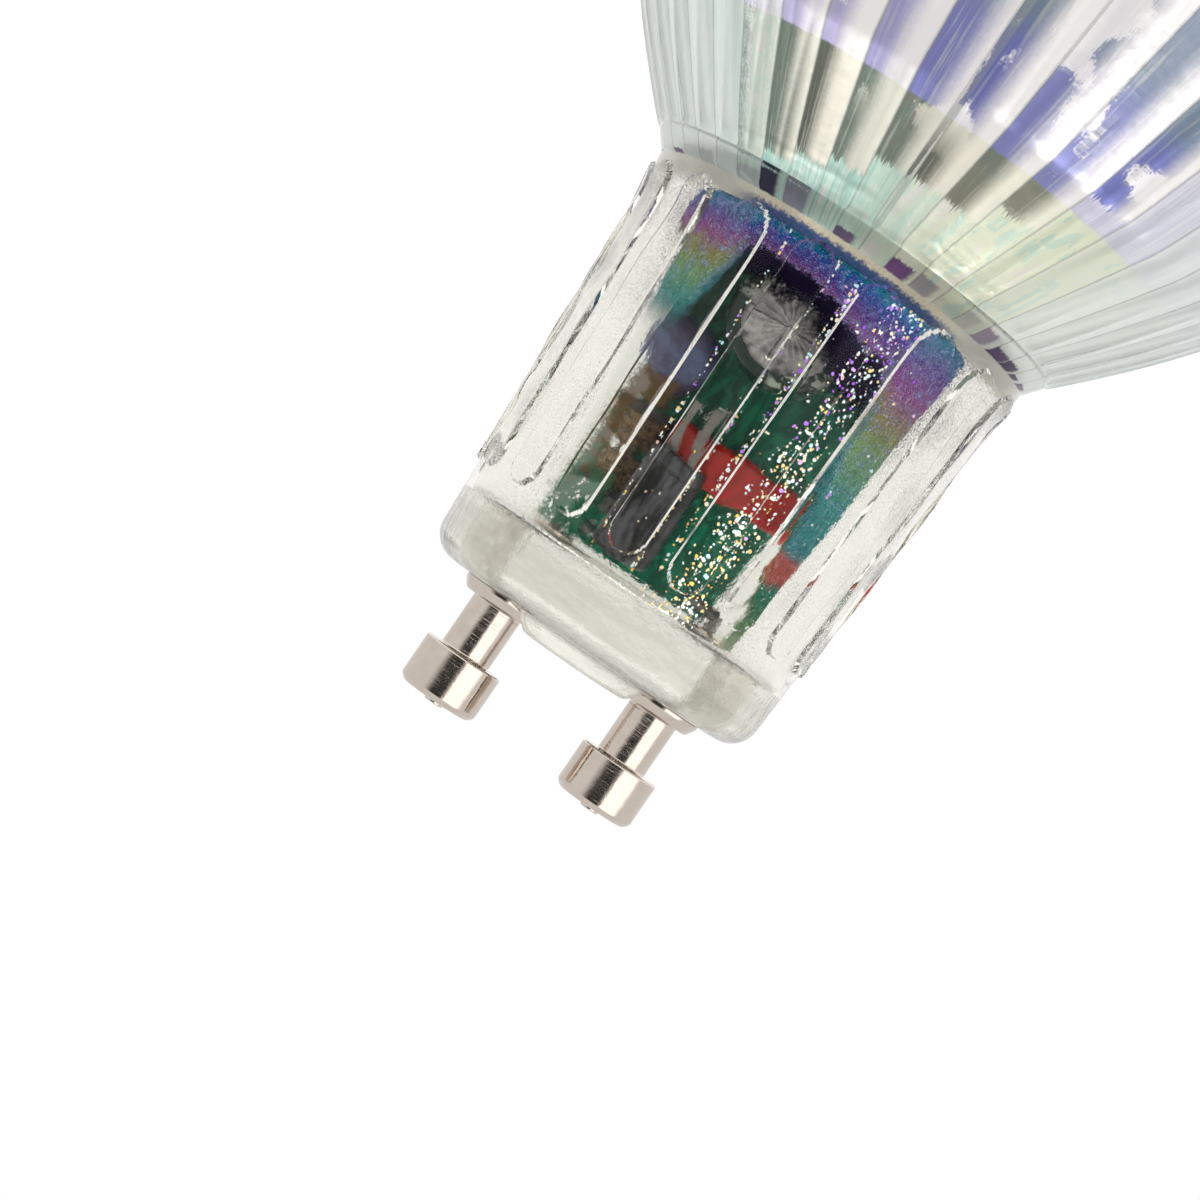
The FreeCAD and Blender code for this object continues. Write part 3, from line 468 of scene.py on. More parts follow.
def bowl_radius(level):
    start, end = np.array((RIM_RADIUS, RIM_TOP)), np.array(WAIST)
    chord = end - start
    across = np.array((-chord[1], chord[0])) / np.linalg.norm(chord)
    middle = (start + end) / 2
    centre = middle + across * math.sqrt(BOWL_CURVE**2 - (chord @ chord) / 4)
    return centre[0] + math.sqrt(BOWL_CURVE**2 - (level - centre[1]) ** 2)


print("bowl radius half way", round(bowl_radius((RIM_TOP + WAIST[1]) / 2), 2), "mm")

# %% [markdown]
# ## Flutes on the bowl
# The bowl's mould was cut with straight hollow grooves that meet in sharp ridges. Sculpting them
# would come out uneven. A formula gives a polygon with as many sides as there are flutes, hollows
# each side a little, and lets both fade out at the rim and at the waist.

# %% Flutes
FLUTE_COUNT = 40
FLUTE_HOLLOW = 0.16
FLUTE_FADE = 0.5


def ease(value, low, high):
    share = np.clip((value - low) / (high - low), 0, 1)
    return share * share * (3 - 2 * share)


def fluted_ring(level):
    half_flute = math.pi / FLUTE_COUNT
    off = (turn + math.pi / 2) % (2 * half_flute) - half_flute
    radius = bowl_radius(level)
    flat = radius * math.cos(half_flute) / np.cos(off)
    hollow = FLUTE_HOLLOW * (1 - (off / half_flute) ** 2)
    begun = ease(level, RIM_TOP, RIM_TOP + FLUTE_FADE)
    depth = begun * (1 - ease(level, WAIST[1] - FLUTE_FADE, WAIST[1]))
    return radius + depth * (flat - hollow - radius)


print("a flute is", round(np.ptp(fluted_ring(RIM_TOP + 1)), 2), "mm deep near the rim")

# %% [markdown]
# ## Reeds on the neck
# Raised reeds with round ends run down the neck. On the real glass each one shows as two bright
# lines, because only its steep shoulders bend the light, so a reed is flat on top with a narrow
# shoulder. A hand-cut mould is never even: slow waves change how far each edge stands proud.

# %% Reeds
REED_COUNT = 18
REED_PROUD = 0.3
REED_HALF_WIDTH = 1.074
REED_SHOULDER = 0.06
REED_GIRTH = 10.7
REED_WAVE = 0.2
REED_BEARING = math.radians(-82.0)
REED_ENDS = (23.8, 42.0)
WAVE_ALONG, WAVE_SHIFT = (1.1, 0.4), (2.4, 4.1)
NECK_SHOULDER, SHOULDER_LENGTH = 0.3, 3.0


def edge_wave(level, edge):
    return sum(np.sin(along * level + shift * edge) for along, shift in zip(WAVE_ALONG, WAVE_SHIFT))


def reeded_ring(level):
    share = (level - NECK_TOP[1]) / (NECK_FOOT[1] - NECK_TOP[1])
    radius = NECK_TOP[0] + share * (NECK_FOOT[0] - NECK_TOP[0])
    radius += NECK_SHOULDER * (1 - float(ease(level, NECK_TOP[1], NECK_TOP[1] + SHOULDER_LENGTH)))
    pitch = 2 * math.pi / REED_COUNT
    from_first = turn - REED_BEARING + pitch / 2
    off = (from_first % pitch - pitch / 2) * REED_GIRTH
    above_end = REED_ENDS[0] + REED_HALF_WIDTH - level
    below_end = level - REED_ENDS[1] + REED_HALF_WIDTH
    from_spine = np.hypot(off, max(0.0, above_end, below_end))
    reed = np.floor(from_first / pitch)
    across = np.clip(off / REED_HALF_WIDTH, -1, 1) / 2 + 0.5
    first, second = edge_wave(level, 2 * reed), edge_wave(level, 2 * reed + 1)
    proud = REED_PROUD * (1 - REED_WAVE * (1 + first + across * (second - first)))
    return radius + proud * ease(from_spine, REED_HALF_WIDTH, REED_HALF_WIDTH - REED_SHOULDER)


print("reeds stand", round(np.ptp(reeded_ring(33.0)), 2), "mm proud half way down")

# %% [markdown]
# ## The outside, ring by ring
# Rings lie close together where the shape turns, at the rim, the waist, the ends of the reeds and
# the rounded foot, and further apart on plain runs. A finer mesh all over would do as well, but
# costs far more points. Every ring has the same number of points, so that all join to one skin.

# %% Outside of the glass
RIM_BORE, RIM_ROUNDING = 23.0, 0.4
FLUTE_LEVELS = [*np.linspace(RIM_TOP, RIM_TOP + 0.6, 4), *np.linspace(6.6, 21.4, 14), 21.7, 21.9]
WAIST_OUTLINE, WAIST_ROUNDING = [(12.35, 21.95), WAIST, (11.5, 23.1), (11.48, 23.5)], 0.45
NECK_LEVELS = [(23.6, 25.2, 12), (25.2, 40.6, 28), (40.6, 42.1, 14), (42.1, NECK_FOOT[1], 5)]
FOOT_ROUNDING, FOOT_STEPS = SEAT[1] - NECK_FOOT[1], 10

rim_outline = [(RIM_BORE, 0.0), (RIM_RADIUS, 0.0), (RIM_RADIUS, RIM_TOP)]
outer_rings = rounded(rim_outline, RIM_ROUNDING)[1:-1]
outer_rings += [(fluted_ring(z), z) for z in FLUTE_LEVELS]
outer_rings += rounded(WAIST_OUTLINE, WAIST_ROUNDING)
for start, end, count in NECK_LEVELS:
    outer_rings += [(reeded_ring(z), z) for z in np.linspace(start, end, count, endpoint=False)]
for bend in np.linspace(0, math.pi / 2, FOOT_STEPS):
    out, up = FOOT_ROUNDING * math.cos(bend), FOOT_ROUNDING * math.sin(bend)
    outer_rings.append((SEAT[0] + out, NECK_FOOT[1] + up))
outside = spun(outer_rings, SIDES)
print("outside rings", len(outside))

# %% [markdown]
# ## The end of the foot
# The foot is closed by a flat end with a raised land between the pins, two round seats and two
# holes. Those outlines cross each other, so rings can't follow them. The flat end is triangulated
# from its outlines, and a small formula lifts each point to its height.

# %% Foot end
PIN_X = 5.0
HOLE_RADIUS, HOLE_SIDES = 1.05, 48
PIN_SEAT_RADIUS, SEAT_SIDES = 2.5, 64
SEAT_STEPS, SEAT_MARGIN = (0.0, 0.08), 0.01
LAND_HALF, LAND_SIDES = (4.1, 7.5), 48
LAND_STEPS = (-0.1, 0.1, 0.3, 0.5, 0.7, 0.9, 1.1)
LAND_RISE = 1.0
LAND_REACH = LAND_HALF[1] - LAND_HALF[0]
MERGE = 1e-5


def circle(centre, radius, count):
    around = np.linspace(0, 2 * math.pi, count, endpoint=False)
    return [(centre + radius * math.cos(a), radius * math.sin(a)) for a in around]


def land_outline(inset):
    radius = LAND_HALF[0] - inset
    around = np.linspace(0, 2 * math.pi, LAND_SIDES, endpoint=False) + math.pi / LAND_SIDES
    ends = [math.copysign(LAND_REACH, math.sin(a)) for a in around]
    return [(radius * math.cos(a), radius * math.sin(a) + end) for a, end in zip(around, ends)]


def from_pin(x, y):
    return min(math.hypot(x - PIN_X, y), math.hypot(x + PIN_X, y))


def foot_height(x, y):
    if from_pin(x, y) < PIN_SEAT_RADIUS + SEAT_MARGIN:
        return SEAT[1]
    inside = LAND_HALF[0] - math.hypot(x, max(0.0, abs(y) - LAND_REACH))
    return SEAT[1] + LAND_RISE * float(ease(inside, LAND_STEPS[0], LAND_STEPS[-1]))


def filled(loops):
    flat, edges = [], []
    for loop in loops:
        start = len(flat)
        flat += [Vector(p) for p in loop]
        edges += [(start + i, start + (i + 1) % len(loop)) for i in range(len(loop))]
    spots, _, faces, _, _, _ = delaunay_2d_cdt(flat, edges, [], 0, MERGE)
    kept = []
    for face in faces:
        centre = sum((spots[i] for i in face), Vector((0, 0))) / len(face)
        if from_pin(centre.x, centre.y) > HOLE_RADIUS * 0.99:
            kept.append(face)
    return spots, kept


holes = [circle(side * PIN_X, HOLE_RADIUS, HOLE_SIDES) for side in (-1, 1)]
seats = [circle(side * PIN_X, PIN_SEAT_RADIUS + more, SEAT_SIDES)
         for side in (-1, 1) for more in SEAT_STEPS]
rim_of_foot = [(x, y) for x, y, _ in outside[-1]]
lands = [land_outline(inset) for inset in LAND_STEPS]
foot_spots, foot_faces = filled([rim_of_foot, *lands, *seats, *holes])
foot_points = [(p.x, p.y, foot_height(p.x, p.y)) for p in foot_spots]
print("foot end", len(foot_faces), "triangles")

# %% [markdown]
# ## The hollow
# The plunger left a smooth hollow: a cup in the neck, a mouth at the waist, a wide bowl, and a step
# in the rim for the front cover. It is plain all round, so a spun outline gives it, and only the
# floor of the cup, which the two pin holes cross, is triangulated.

# %% Hollow
FLOOR_LEVEL = 43.35
FLOOR_EDGE = (5.2, FLOOR_LEVEL)
CAVITY_FOOT = (6.5, FLOOR_LEVEL)
MOUTH = (8.1, 23.6)
SHELF = (16.7, 14.6)
LIP_RADIUS, LIP_TOP, STEP_LEVEL = 21.4, 5.0, 2.3
RIM_FLAT = (24.0, 0.0)
HOLLOW_ROUNDING = 0.5

hollow_outline = [
    FLOOR_EDGE, CAVITY_FOOT, MOUTH, SHELF, (LIP_RADIUS, LIP_TOP), (LIP_RADIUS, STEP_LEVEL),
    (RIM_BORE, STEP_LEVEL), (RIM_BORE, 0.0), RIM_FLAT,
]
hollow = spun(rounded(hollow_outline, HOLLOW_ROUNDING, 3)[1:-1], SIDES)
floor_spots, floor_faces = filled([[(x, y) for x, y, _ in hollow[0]], *holes])
floor_points = [(p.x, p.y, FLOOR_LEVEL) for p in floor_spots]
print("hollow rings", len(hollow), "and", len(floor_faces), "triangles in the cup's floor")

# %% [markdown]
# ## One closed skin
# Glass only bends light as it should when its skin is closed, so the outside, the foot, the hollow
# and the two pin holes are joined edge to edge. Separate shells would show as dark seams. Each
# patch remembers which of the glass finishes it takes.

# %% The whole glass
CLEAR, WALL, COAT, CUP, FOOT, BORE, BOWL = range(7)
COLLAR_DROP = 0.4
RIM_ROWS = 5
points, faces, kinds = [], [], []


def add_skin(new_points, new_faces, kind):
    start = len(points)
    points.extend(tuple(p) for p in new_points)
    faces.extend(tuple(int(i) + start for i in f) for f in new_faces)
    kinds.extend([kind] * len(new_faces))


def add_rings(rings, kind):
    add_skin(*skin_rings(rings), kind)


outer_levels, inner_levels = outside[:, 0, 2], hollow[:, 0, 2]
collar_row = int(np.argmax(outer_levels > FLOOR_LEVEL - COLLAR_DROP))
waist_row = int(np.argmax(outer_levels > NECK_TOP[1]))
mouth_row = int(np.argmin(np.abs(inner_levels - MOUTH[1])))
add_rings(outside[: waist_row + 1], BOWL)
add_rings(outside[waist_row : collar_row + 1], CLEAR)
add_rings(outside[collar_row:], FOOT)
add_skin(foot_points, foot_faces, FOOT)
add_skin(floor_points, floor_faces, CUP)
add_rings(hollow[: mouth_row + 1], WALL)
add_rings(hollow[mouth_row:-RIM_ROWS], COAT)
add_rings(hollow[-RIM_ROWS:], CLEAR)
add_rings(np.stack([hollow[-1], outside[0]]), CLEAR)
for hole in holes:
    add_rings(np.array([[(x, y, z) for x, y in hole] for z in (SEAT[1], FLOOR_LEVEL)]), BORE)
print("glass", len(points), "points", len(faces), "faces")

# %% [markdown]
# ## Clear glass
# Clear glass is a skin that lets light through, with a faint tint, cords where the melt was uneven
# and the shallow waves that a mould leaves. A volume could hold the tint, but the skin is quicker
# and exports. The bowl is the clearest, the cup's floor is crumpled and the foot is cloudy. Most of
# the glare on the outer face is taken down, as the tent left little of it.

# %% Four kinds of clear glass
GLASS_IOR = 1.5
FRONT_GLARE = (0.2, 0.2, 0.2)


def clear_glass(name, waves, tint, rough=0.0, cords=0.985):
    finish = Finish(name)
    slow = finish.noise(0.5, finish.where((1, 1, 0.35)), 2.0)
    ripple = slow + 0.25 * finish.noise(2.5, finish.where())
    cord = finish.between(finish.noise(0.9, finish.where((0.3, 0.3, 1.5)), 4.0, 0.65), 0.35, 0.65)
    return finish.show(finish.skin({
        "Base Color": finish.mix(cord, tint, tuple(cords * c for c in tint)),
        "Roughness": rough,
        "IOR": GLASS_IOR,
        "Transmission Weight": 1.0,
        "Specular Tint": FRONT_GLARE,
        "Normal": finish.bump(ripple, waves),
    }))


pressed_glass = clear_glass("pressed_glass", 0.035, (0.94, 0.915, 0.85))
fluted_glass = clear_glass("fluted_glass", 0.02, (0.94, 0.95, 0.93))
crumpled_glass = clear_glass("crumpled_glass", 0.3, (0.80, 0.79, 0.74))
foot_glass = clear_glass("foot_glass", 0.12, (0.74, 0.72, 0.64), 0.16, 0.80)

# %% [markdown]
# ## The pin holes
# Seen through the foot, the two holes for the pins shine like frosted silver, because light that
# meets them from inside the glass is thrown back. A ground metal finish gives that at once, where
# real glass would need many more rays.

# %% Frosted holes
frosted_bore = Finish("frosted_bore")
frost = frosted_bore.noise(1.8, frosted_bore.where((1, 1, 0.5)), 4.0, 0.65)
frost_share = frosted_bore.between(frost, 0.35, 0.65)
frosted_bore.show(frosted_bore.skin({
    "Base Color": frosted_bore.mix(frost_share, (0.94, 0.92, 0.85), (1.0, 1.0, 0.97)),
    "Metallic": 1.0,
    "Roughness": 0.12,
    "Normal": frosted_bore.bump(frost, 0.6),
}))

# %% [markdown]
# ## Where the film lies in the neck
# The mirror coating of the bowl strays into the neck: a short dark band at the mouth, and taller
# patches at both sides of the front. An image could hold it, but masks made from height and side
# stay sharp at any distance, and noise frays their borders. The film's depth runs from 0 at the
# mouth to 1 at its ragged end.

# %% Film masks
# The middle reach is longer on the right, where the film's near-black end is painted shade.
FILM_REACH, FILM_REACH_RIGHT = 3.0, 2.6
SIDE_REACH, SIDE_REACH_RIGHT = 9.0, 6.0
wall = Finish("stippled_neck_wall")
spot = wall.where()
x, y, z = wall.split(spot)
grain = wall.noise(4.5, spot, 3.0, 0.6)
mottle = wall.noise(2.2, spot, 5.0, 0.7)
ragged = wall.noise(1.4, wall.where((1, 1, 0.5)), 4.0, 0.7) - 0.5
fine = wall.noise(6.0, spot, 4.0, 0.7) - 0.5
side = wall.between(x.size() + ragged * 1.2, 4.0, 5.0)
front = wall.between(y, -0.5, -2.5)
to_right = wall.between(x, 0.5, -3.0) * front
middle_reach = FILM_REACH + to_right * FILM_REACH_RIGHT
reach = middle_reach + side * (SIDE_REACH + to_right * SIDE_REACH_RIGHT)
depth = (z - MOUTH[1] + ragged * 2.0 + fine * 1.2) / reach
print("film masks take", len(wall.tree.nodes), "nodes")

# %% [markdown]
# ## What the neck's sides mirror
# The curved sides of the neck show faint reflections of the parts inside: the red block on one
# side, the wound choke and the board on the other. Ray tracing finds some of them, but the film
# hides the rest, so they are laid into the film as painted reflections: soft patches of the same
# colours.

# %% Painted reflections of the parts
RED_REFLECTION_LEVEL = 38.0
GAP_LEVEL, EDGE_LEVEL = 34.0, 37.5
red_painted_reflection = wall.near(z - RED_REFLECTION_LEVEL + ragged * 2.0, 1.3, 0.5) * side * to_right
painted_reflection_mask = wall.between(x + ragged, 2.6, 3.4) * wall.between(x + fine, 5.3, 4.8) * front
painted_reflection_gap = wall.near(z - GAP_LEVEL + ragged, 1.0, 0.6)
painted_reflection_foot = wall.between(z + ragged * 2.0, 38.2, 39.0) * wall.between(z + fine, 42.9, 42.3)
painted_reflection_foot = painted_reflection_foot * wall.between(mottle, 0.40, 0.46)
painted_reflection_edge = wall.between(x + ragged * 0.6, 4.15, 4.5) * wall.near(z - EDGE_LEVEL, 4.0, 3.0)
left_painted_reflection = painted_reflection_mask * (1.0 - (1.0 - painted_reflection_gap) * (1.0 - painted_reflection_edge) * (1.0 - painted_reflection_foot))
painted_reflection_share = wall.between(mottle + (z - RED_REFLECTION_LEVEL) * 0.04, 0.45, 0.62)
painted_reflection_tone = wall.mix(painted_reflection_share, (0.13, 0.075, 0.03), (0.02, 0.15, 0.08))
print("echoes at", RED_REFLECTION_LEVEL, "and", GAP_LEVEL, "mm")

# %% [markdown]
# ## Colours of the film
# A thin film shows the colours of oil on water, which change with its thickness. The real film
# thins out away from the mouth, so one ramp over its depth gives the middle its blues, and another
# gives the sides their magenta, olive and teal. The middle ramp ends in near-black, which is painted
# shade for the shadowed top of the board seen through the glass. A blue painted sheen and violet
# painted sparks lie over it, and specks break up what would otherwise look sprayed on.

# %% Film colours
# Past 0.54 the middle stops are near-black painted shade, not the film's own colour.
MIDDLE_FILM_AND_SHADE_STOPS = [
    (0.0, (0.0, 0.17, 0.28)), (0.08, (0.012, 0.07, 0.32)), (0.20, (0.06, 0.05, 0.27)),
    (0.36, (0.10, 0.03, 0.21)), (0.46, (0.20, 0.09, 0.26)), (0.54, (0.010, 0.006, 0.025)),
    (1.0, (0.003, 0.002, 0.008)),
]
SIDE_STOPS = [
    (0.0, (0.04, 0.20, 0.32)), (0.08, (0.12, 0.07, 0.30)), (0.17, (0.28, 0.08, 0.26)),
    (0.26, (0.26, 0.24, 0.06)), (0.36, (0.16, 0.34, 0.14)), (0.50, (0.04, 0.28, 0.26)),
    (0.66, (0.05, 0.22, 0.27)), (0.80, (0.03, 0.18, 0.10)), (1.0, (0.26, 0.32, 0.14)),
]
FILM_SHADE = 0.16
specks = wall.noise(9.0, wall.where((1, 1, 0.5)), 3.0, 0.7)
sparks = wall.noise(16.0, wall.where((0.6, 0.6, 1.0)), 2.0, 0.6)
# A painted blue sheen and painted violet sparks lie over the middle of the film.
sheen = wall.between(mottle, 0.50, 0.66) * wall.between(depth, 0.60, 0.40)
sparkle = wall.between(sparks, 0.56, 0.66) * wall.between(depth, 0.60, 0.45)
film = wall.glazed(
    wall.mix(side, wall.ramp(depth, MIDDLE_FILM_AND_SHADE_STOPS), wall.ramp(depth, SIDE_STOPS)),
    (red_painted_reflection * 0.8, (0.50, 0.06, 0.04)),
    (sheen * 0.7, (0.20, 0.26, 0.50)),
    (wall.between(specks, 0.50, 0.72) * 0.6, (0.02, 0.03, 0.04)),
    (wall.between(specks, 0.44, 0.30) * side * 0.6, (0.60, 0.66, 0.62)),
    (sparkle * 0.6, (0.40, 0.44, 0.85)),
    (left_painted_reflection, painted_reflection_tone),
    (FILM_SHADE, BLACK),
)
film_skin = wall.skin({
    "Base Color": film,
    "Metallic": 0.9,
    "Roughness": 0.25,
    "Specular IOR Level": 0.0,
    "Normal": wall.bump(grain + mottle, 0.05),
})
print("film colours from", len(MIDDLE_FILM_AND_SHADE_STOPS), "and", len(SIDE_STOPS), "stops")

# %% [markdown]
# ## Film over bare glass
# Past the film's ragged end the wall is bare, finely stippled glass. Where it is met so flat that
# all light is thrown back, the film behind it can't be seen, and the wall looks like a bright
# sandy mirror. A Fresnel node finds those places, and the film is thinned out there.

# %% Bare glass
edge_on = wall.between(wall.node("ShaderNodeFresnel", None, {"IOR": GLASS_IOR}), 0.5, 0.9)
stipple = wall.noise(9.0, spot, 2.0, 0.6)
bare_skin = wall.skin({
    "Base Color": wall.mix(grain, (0.80, 0.82, 0.80), (0.86, 0.86, 0.83)),
    "Roughness": 0.0,
    "IOR": GLASS_IOR,
    "Transmission Weight": 1.0,
    "Specular Tint": FRONT_GLARE,
    "Normal": wall.bump(grain * 0.25 + stipple * edge_on, 0.03),
})
covered = wall.between(depth + side * (1.0 - to_right) * 0.42, 1.12, 0.86)
uncovered = (1.0 - covered) * (1.0 - left_painted_reflection * 0.85)
thin = 1.0 - (1.0 - uncovered) * (1.0 - edge_on)
coated = wall.layered(thin, film_skin, bare_skin)
print("neck wall has", len(wall.tree.nodes), "nodes so far")

# %% [markdown]
# ## Painted glints on the stippled wall
# The stipple throws back hundreds of tiny lights, in one wide drifting lane and a few thin ones.
# Here they are painted glints, placed by masks. Scattering small beads would cost many faces. A
# Voronoi pattern gives each cell a round bead and three numbers of its own: whether it is lit, its
# size and its hue.

# %% Glint lanes
BEADS = {"Vector": wall.where((1.0, 1.0, 0.8)), "Scale": 5.8}
LANE_BEARING, LANE_DRIFT, LANE_LEVEL = -24.0, 0.25, 34.0
THIN_LANES = ((2.6, 1.5, 1.0, 0.4, 1.0), (-6.5, 2.0, 1.4, 0.5, 1.0), (21.0, 1.5, 0.9, 0.3, 0.6))
bearing = wall.bearing(x, y)
clumps = wall.noise(0.5, spot, 3.0, 0.6)
from_lane = bearing - LANE_BEARING - (z - LANE_LEVEL) * LANE_DRIFT
wide_lane = wall.between(from_lane.size() + ragged * 10.0, 11.0, 2.0)
lane_lines = wall.between((bearing * 0.28 % 1.0 - 0.5).size() + ragged * 0.3, 0.40, 0.10)
lit = wide_lane * (0.25 + 0.85 * lane_lines) * wall.between(clumps, 0.25, 0.45)
for middle, fray, faded, full, weight in THIN_LANES:
    lane = wall.between((bearing - middle).size() + ragged * fray, faded, full)
    lit = lit + lane * (0.9 * weight) * wall.between(clumps, 0.25, 0.4)
lit = lit + 0.02 * wall.between(bearing, 20.0, -5.0)
print("one wide lane and", len(THIN_LANES), "thin lanes of glints")

# %% [markdown]
# ## Colours of the glints
# Most painted glints are white, and some show violet, gold or ice blue, as a cut stone does. The lit
# beads become small mirrors painted over the film, and are left out where the wall is met edge on.

# %% Glints
GLINT_STOPS = [
    (0.0, (0.45, 0.12, 1.0)), (0.10, (0.75, 0.45, 1.0)), (0.18, (1.0, 0.78, 0.20)), (0.30, WHITE),
    (0.50, (0.55, 0.90, 1.0)), (0.66, WHITE), (0.86, (1.0, 0.92, 0.62)), (1.0, (1.0, 0.66, 0.16)),
]
HUE_LEVEL = 33.0
beads = wall.node("ShaderNodeTexVoronoi", None, BEADS, "Distance")
bead_numbers = wall.node("ShaderNodeTexVoronoi", None, BEADS, "Color")
chance, girth, hue = wall.split(bead_numbers)
bead_size = 0.28 + 0.42 * girth * girth
glint = (lit * 1.6 > chance) * wall.between(beads, bead_size, bead_size - 0.1) * (1.0 - edge_on)
glint_tone = wall.ramp(hue + (z - HUE_LEVEL) * 0.02, GLINT_STOPS)
glint_skin = wall.skin({"Base Color": glint_tone, "Metallic": 1.0, "Roughness": 0.35})
wall.show(wall.layered(glint, coated, glint_skin))

# %% [markdown]
# ## The mirror lining of the bowl
# The bowl is lined with a thin-film mirror: mint near the neck and lavender further out, with a
# sharp border. Each flute of the glass breaks its reflections into ragged bars. True reflections
# through 40 flutes would be noise, so the bars are painted flute by flute, by height and by bearing
# round the axis, and stay put from any side. A white-noise node gives each flute its own numbers.

# %% Flute by flute
FILM_BORDER, BORDER_HALF = 15.7, 0.06
bowl = Finish("bowl_mirror")
x, y, z = bowl.split(bowl.where())
bearing = bowl.bearing(x, y)
strip = bearing / (360 / FLUTE_COUNT)
which = strip.whole()
across = strip - which


def per_flute(seed):
    inputs = {0: bowl.joined(which, seed)}
    return bowl.node("ShaderNodeTexWhiteNoise", {"noise_dimensions": "2D"}, inputs)


ragged = bowl.noise(5.0, bowl.where(), 4.0, 0.7) - 0.5
along = bowl.joined(bearing, z * 0.16)
shredded = bowl.noise(2.4, along, 3.0, 0.7) - 0.5
streaks = bowl.noise(1.1, along, 3.0, 0.6)
patches = bowl.noise(0.22, bowl.where((1, 1, 0.6)), 2.0)
facing = (which * 9.0 + 94.5) % 180.0 - 90.0
beyond = bowl.between(z + ragged * 0.15, FILM_BORDER + BORDER_HALF, FILM_BORDER - BORDER_HALF)
print("mirror lining in", FLUTE_COUNT, "strips, border at", FILM_BORDER, "mm")

# %% [markdown]
# ## The pale ground
# Between the bars the lining mirrors the white tent, tinted by the film: mint on one side, butter
# on the other, teal streaks, pink clouds, and lavender past the border. The far sides are painted
# almost white, a painted reflection of the tent where the glass is met edge on. Each tint is a
# thin glaze over the one before.

# %% Pale ground
butter = bowl.between(facing + patches * 30.0, 25.0, -10.0)
teal = bowl.between(streaks + bowl.between(facing, 0.0, 30.0) * 0.08, 0.52, 0.62)
own = bowl.joined(bearing * 0.25, z * 0.55 + per_flute(11.0) * 30.0)
clouds = bowl.noise(1.0, own, 3.0, 0.6)
lavender = bowl.mix(bowl.between(streaks, 0.40, 0.62), (0.66, 0.62, 0.84), (0.82, 0.80, 0.92))
far_side_reflection = bowl.mix(streaks, (0.88, 0.96, 0.92), (1.0, 0.99, 0.98))
pale = bowl.glazed(
    bowl.mix(butter, (0.60, 0.76, 0.66), (0.80, 0.83, 0.62)),
    (teal * 0.8 * bowl.between(facing, -8.0, 15.0), (0.30, 0.58, 0.52)),
    (bowl.between(clouds, 0.55, 0.59) * 0.55, (0.46, 0.70, 0.62)),
    (bowl.between(clouds, 0.42, 0.38) * 0.45, (0.88, 0.76, 0.80)),
    (beyond, lavender),
    (per_flute(5.0) * 0.3, (0.95, 0.92, 0.88)),
    (bowl.between(facing.size(), 32.0, 55.0) * 0.85, far_side_reflection),
)
print("pale ground made,", len(bowl.tree.nodes), "nodes so far")

# %% [markdown]
# ## The dark bars
# Each flute mirrors the dark inside of the lamp as a bar with a torn foot, dark along one edge and
# light along the other: olive black near the neck and violet past the border. White glare breaks
# through in places. The height of each foot comes from the flute's own number.

# %% Bars
BAR_FOOT, BAR_EDGE = 18.2, 0.08
RIGHT_START = -18.0
to_left = (facing + facing.size()) * 0.5
to_right = ((RIGHT_START - facing) + (facing - RIGHT_START).size()) * 0.5
foot_of_bar = BAR_FOOT + to_left * 0.06 - to_right * 0.30 + 0.9 * per_flute(1.0) + shredded * 1.8
in_bar = bowl.between(z, foot_of_bar + BAR_EDGE, foot_of_bar - BAR_EDGE)
in_bar = in_bar * bowl.between(facing.size() + ragged * 10.0, 44.0, 36.0)
shade = bowl.between(across + ragged * 0.16 + (per_flute(4.0) - 0.5) * 0.3, 0.12, 0.72)
far_out = bowl.between(z + patches * 4.0, 14.0, 11.0)
violet = bowl.mix(bowl.between(facing, 4.0, 22.0), (0.08, 0.10, 0.40), (0.42, 0.38, 0.62))
dark = bowl.glazed(
    (0.055, 0.05, 0.03),
    (beyond, violet),
    (far_out, (0.10, 0.17, 0.25)),
    (bowl.between(streaks, 0.52, 0.66) * 0.5, (0.45, 0.45, 0.42)),
)
light = bowl.mix(beyond, (0.95, 0.88, 0.76), (1.0, 0.95, 0.92))
glare = bowl.between(patches + ragged * 0.12 + shredded * 0.10, 0.53, 0.56)
glare = glare * 0.85 * bowl.between(z, 18.0, 15.0)
bars = bowl.mix(shade * (1.0 - glare), light, dark)
# Thin darker lines where the outer ridges lie are painted shade from those ridges, not marks on the
# lining.
painted_ridge_line = bowl.between((across - 0.5).size() + ragged * 0.03, 0.45, 0.48)
lined = bowl.glazed(
    pale,
    (in_bar * (0.65 + 0.35 * per_flute(3.0)), bars),
    (painted_ridge_line * 0.45, (0.30, 0.32, 0.30)),
)
print("bars end near", BAR_FOOT, "mm")

# %% [markdown]
# ## The line at the waist
# Where the bowl meets the neck, a row of short dark dashes runs beside a beige ring, and the film
# of the neck begins at a blue lip. Thin rings of mesh could show them, but they are part of the
# same lining, so they are the last glazes over it, each by its height.

